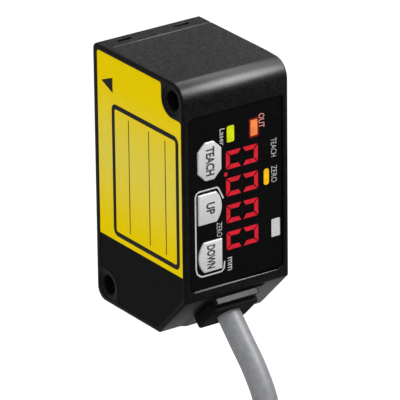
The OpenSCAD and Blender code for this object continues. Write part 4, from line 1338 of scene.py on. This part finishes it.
@dataclass
class Studio:
    """Camera, floor and lights.

    Attributes:
        lens: Focal length in millimetres.
        azimuth: Camera's turn about the vertical in degrees.
        height: Camera's height angle in degrees.
        roll: Camera's roll in degrees.
        offset: Camera's place along its own right, up and back axes in metres.
        target: Point that the camera turns about, in metres.
        nearest: Least distance that the camera sees, in metres.
        floor_level: Height of the floor in metres.
        floor_size: Length of the floor's sides in metres.
        paper: Grey of the floor's paper.
        paper_rough: Roughness of the paper.
        paper_glow: Brightness that lifts the seen paper to white.
        surround: Strength of the even light all round.
        lamps: Soft lights round the sensor.
    """

    lens: float = 450.0
    azimuth: float = -34.6
    height: float = 22.9
    roll: float = -0.67
    offset: Point = (0.0014, -0.0031, 0.792)
    target: Point = (-0.010, 0.0, 0.0)
    nearest: float = 0.01
    floor_level: float = -0.1222
    floor_size: float = 6.0
    paper: float = 0.5
    paper_rough: float = 0.9
    paper_glow: float = 0.68
    surround: float = 0.45
    lamps: tuple[Lamp, ...] = (
        Lamp("key", (0.52, -0.39, 0.76), 0.6, (0.3, 0.3), 3.0),
        Lamp("crown_sheen", (0.523, -0.5, 0.69), 0.12, (0.06, 0.07), 3.0, CROWN_MIDDLE),
        Lamp("upper_sheen", (0.523, 0.2, 0.83), 0.3, (0.27, 0.14), 4.6, CROWN_MIDDLE),
        Lamp("side", (-0.9, -0.25, 0.3), 0.6, (0.5, 0.5), 1.9),
    )

    def camera(self) -> None:
        """Sets the camera up."""
        a, e, r = (math.radians(v) for v in (self.azimuth, self.height, self.roll))
        back = Vector((math.sin(a) * math.cos(e), -math.cos(a) * math.cos(e), math.sin(e)))
        flat = Vector((math.cos(a), math.sin(a), 0))
        tall = back.cross(flat)
        right = flat * math.cos(r) + tall * math.sin(r)
        up = tall * math.cos(r) - flat * math.sin(r)
        place = Vector(self.target) + right * self.offset[0] + up * self.offset[1] + back * self.offset[2]
        data = bpy.data.cameras.new("camera")
        data.lens = self.lens
        data.clip_start = self.nearest
        camera = bpy.data.objects.new("camera", data)
        camera.matrix_world = Matrix.Translation(place) @ Matrix((right, up, back)).transposed().to_4x4()
        bpy.context.scene.collection.objects.link(camera)
        bpy.context.scene.camera = camera

    def floor(self) -> None:
        """Lays the pale floor."""
        Bench.clear()
        bpy.ops.mesh.primitive_plane_add(size=self.floor_size, location=(0, 0, self.floor_level))
        piece = bpy.context.object
        piece.name = "floor"
        material = bpy.data.materials.new("floor_paper")
        material.use_nodes = True
        nodes, links = material.node_tree.nodes, material.node_tree.links
        shader = nodes["Principled BSDF"]
        shader.inputs["Base Color"].default_value = (self.paper, self.paper, self.paper, 1)
        shader.inputs["Roughness"].default_value = self.paper_rough
        shader.inputs["Specular IOR Level"].default_value = 0.0
        shader.inputs["Emission Color"].default_value = (1, 1, 1, 1)
        glow = nodes.new("ShaderNodeMath")
        glow.operation = "MULTIPLY"
        glow.inputs[1].default_value = self.paper_glow
        links.new(self.seen(nodes, links), glow.inputs[0])
        links.new(glow.outputs["Value"], shader.inputs["Emission Strength"])
        piece.data.materials.append(material)

    @staticmethod
    def seen(nodes: bpy.types.Nodes, links: bpy.types.NodeLinks) -> bpy.types.NodeSocket:
        """Adds the test for what the camera sees, directly, mirrored or through glass.

        Args:
            nodes: Nodes of the tree.
            links: Links of the tree.

        Returns:
            Socket that is 1 for such rays.
        """
        rays = nodes.new("ShaderNodeLightPath")
        first = nodes.new("ShaderNodeMath")
        first.operation = "MAXIMUM"
        links.new(rays.outputs["Is Camera Ray"], first.inputs[0])
        links.new(rays.outputs["Is Glossy Ray"], first.inputs[1])
        second = nodes.new("ShaderNodeMath")
        second.operation = "MAXIMUM"
        links.new(first.outputs["Value"], second.inputs[0])
        links.new(rays.outputs["Is Transmission Ray"], second.inputs[1])
        return second.outputs["Value"]

    def world(self) -> None:
        """Sets the even studio surround, which the camera sees as white."""
        world = bpy.data.worlds.new("studio")
        bpy.context.scene.world = world
        world.use_nodes = True
        nodes, links = world.node_tree.nodes, world.node_tree.links
        surround = nodes["Background"]
        surround.inputs["Color"].default_value = (1, 1, 1, 1)
        strength = nodes.new("ShaderNodeMath")
        strength.operation = "MULTIPLY_ADD"
        strength.inputs[1].default_value = 1 - self.surround
        strength.inputs[2].default_value = self.surround
        links.new(self.seen(nodes, links), strength.inputs[0])
        links.new(strength.outputs["Value"], surround.inputs["Strength"])

    def build(self) -> None:
        """Builds the studio."""
        self.camera()
        self.floor()
        self.world()
        for lamp in self.lamps:
            lamp.hang(self.target)


def main() -> None:
    """Builds the sensor's sub-assemblies and the studio round it."""
    logging.basicConfig(level=logging.INFO, format="%(name)s: %(message)s")
    bpy.context.scene.view_settings.view_transform = "Standard"
    for assembly in (Studio(), Cable(), Housing(), SideLabel(), DisplayFace(), Inside()):
        assembly.build()
        log.info("%s built", type(assembly).__name__)


if __name__ == "__main__":
    main()
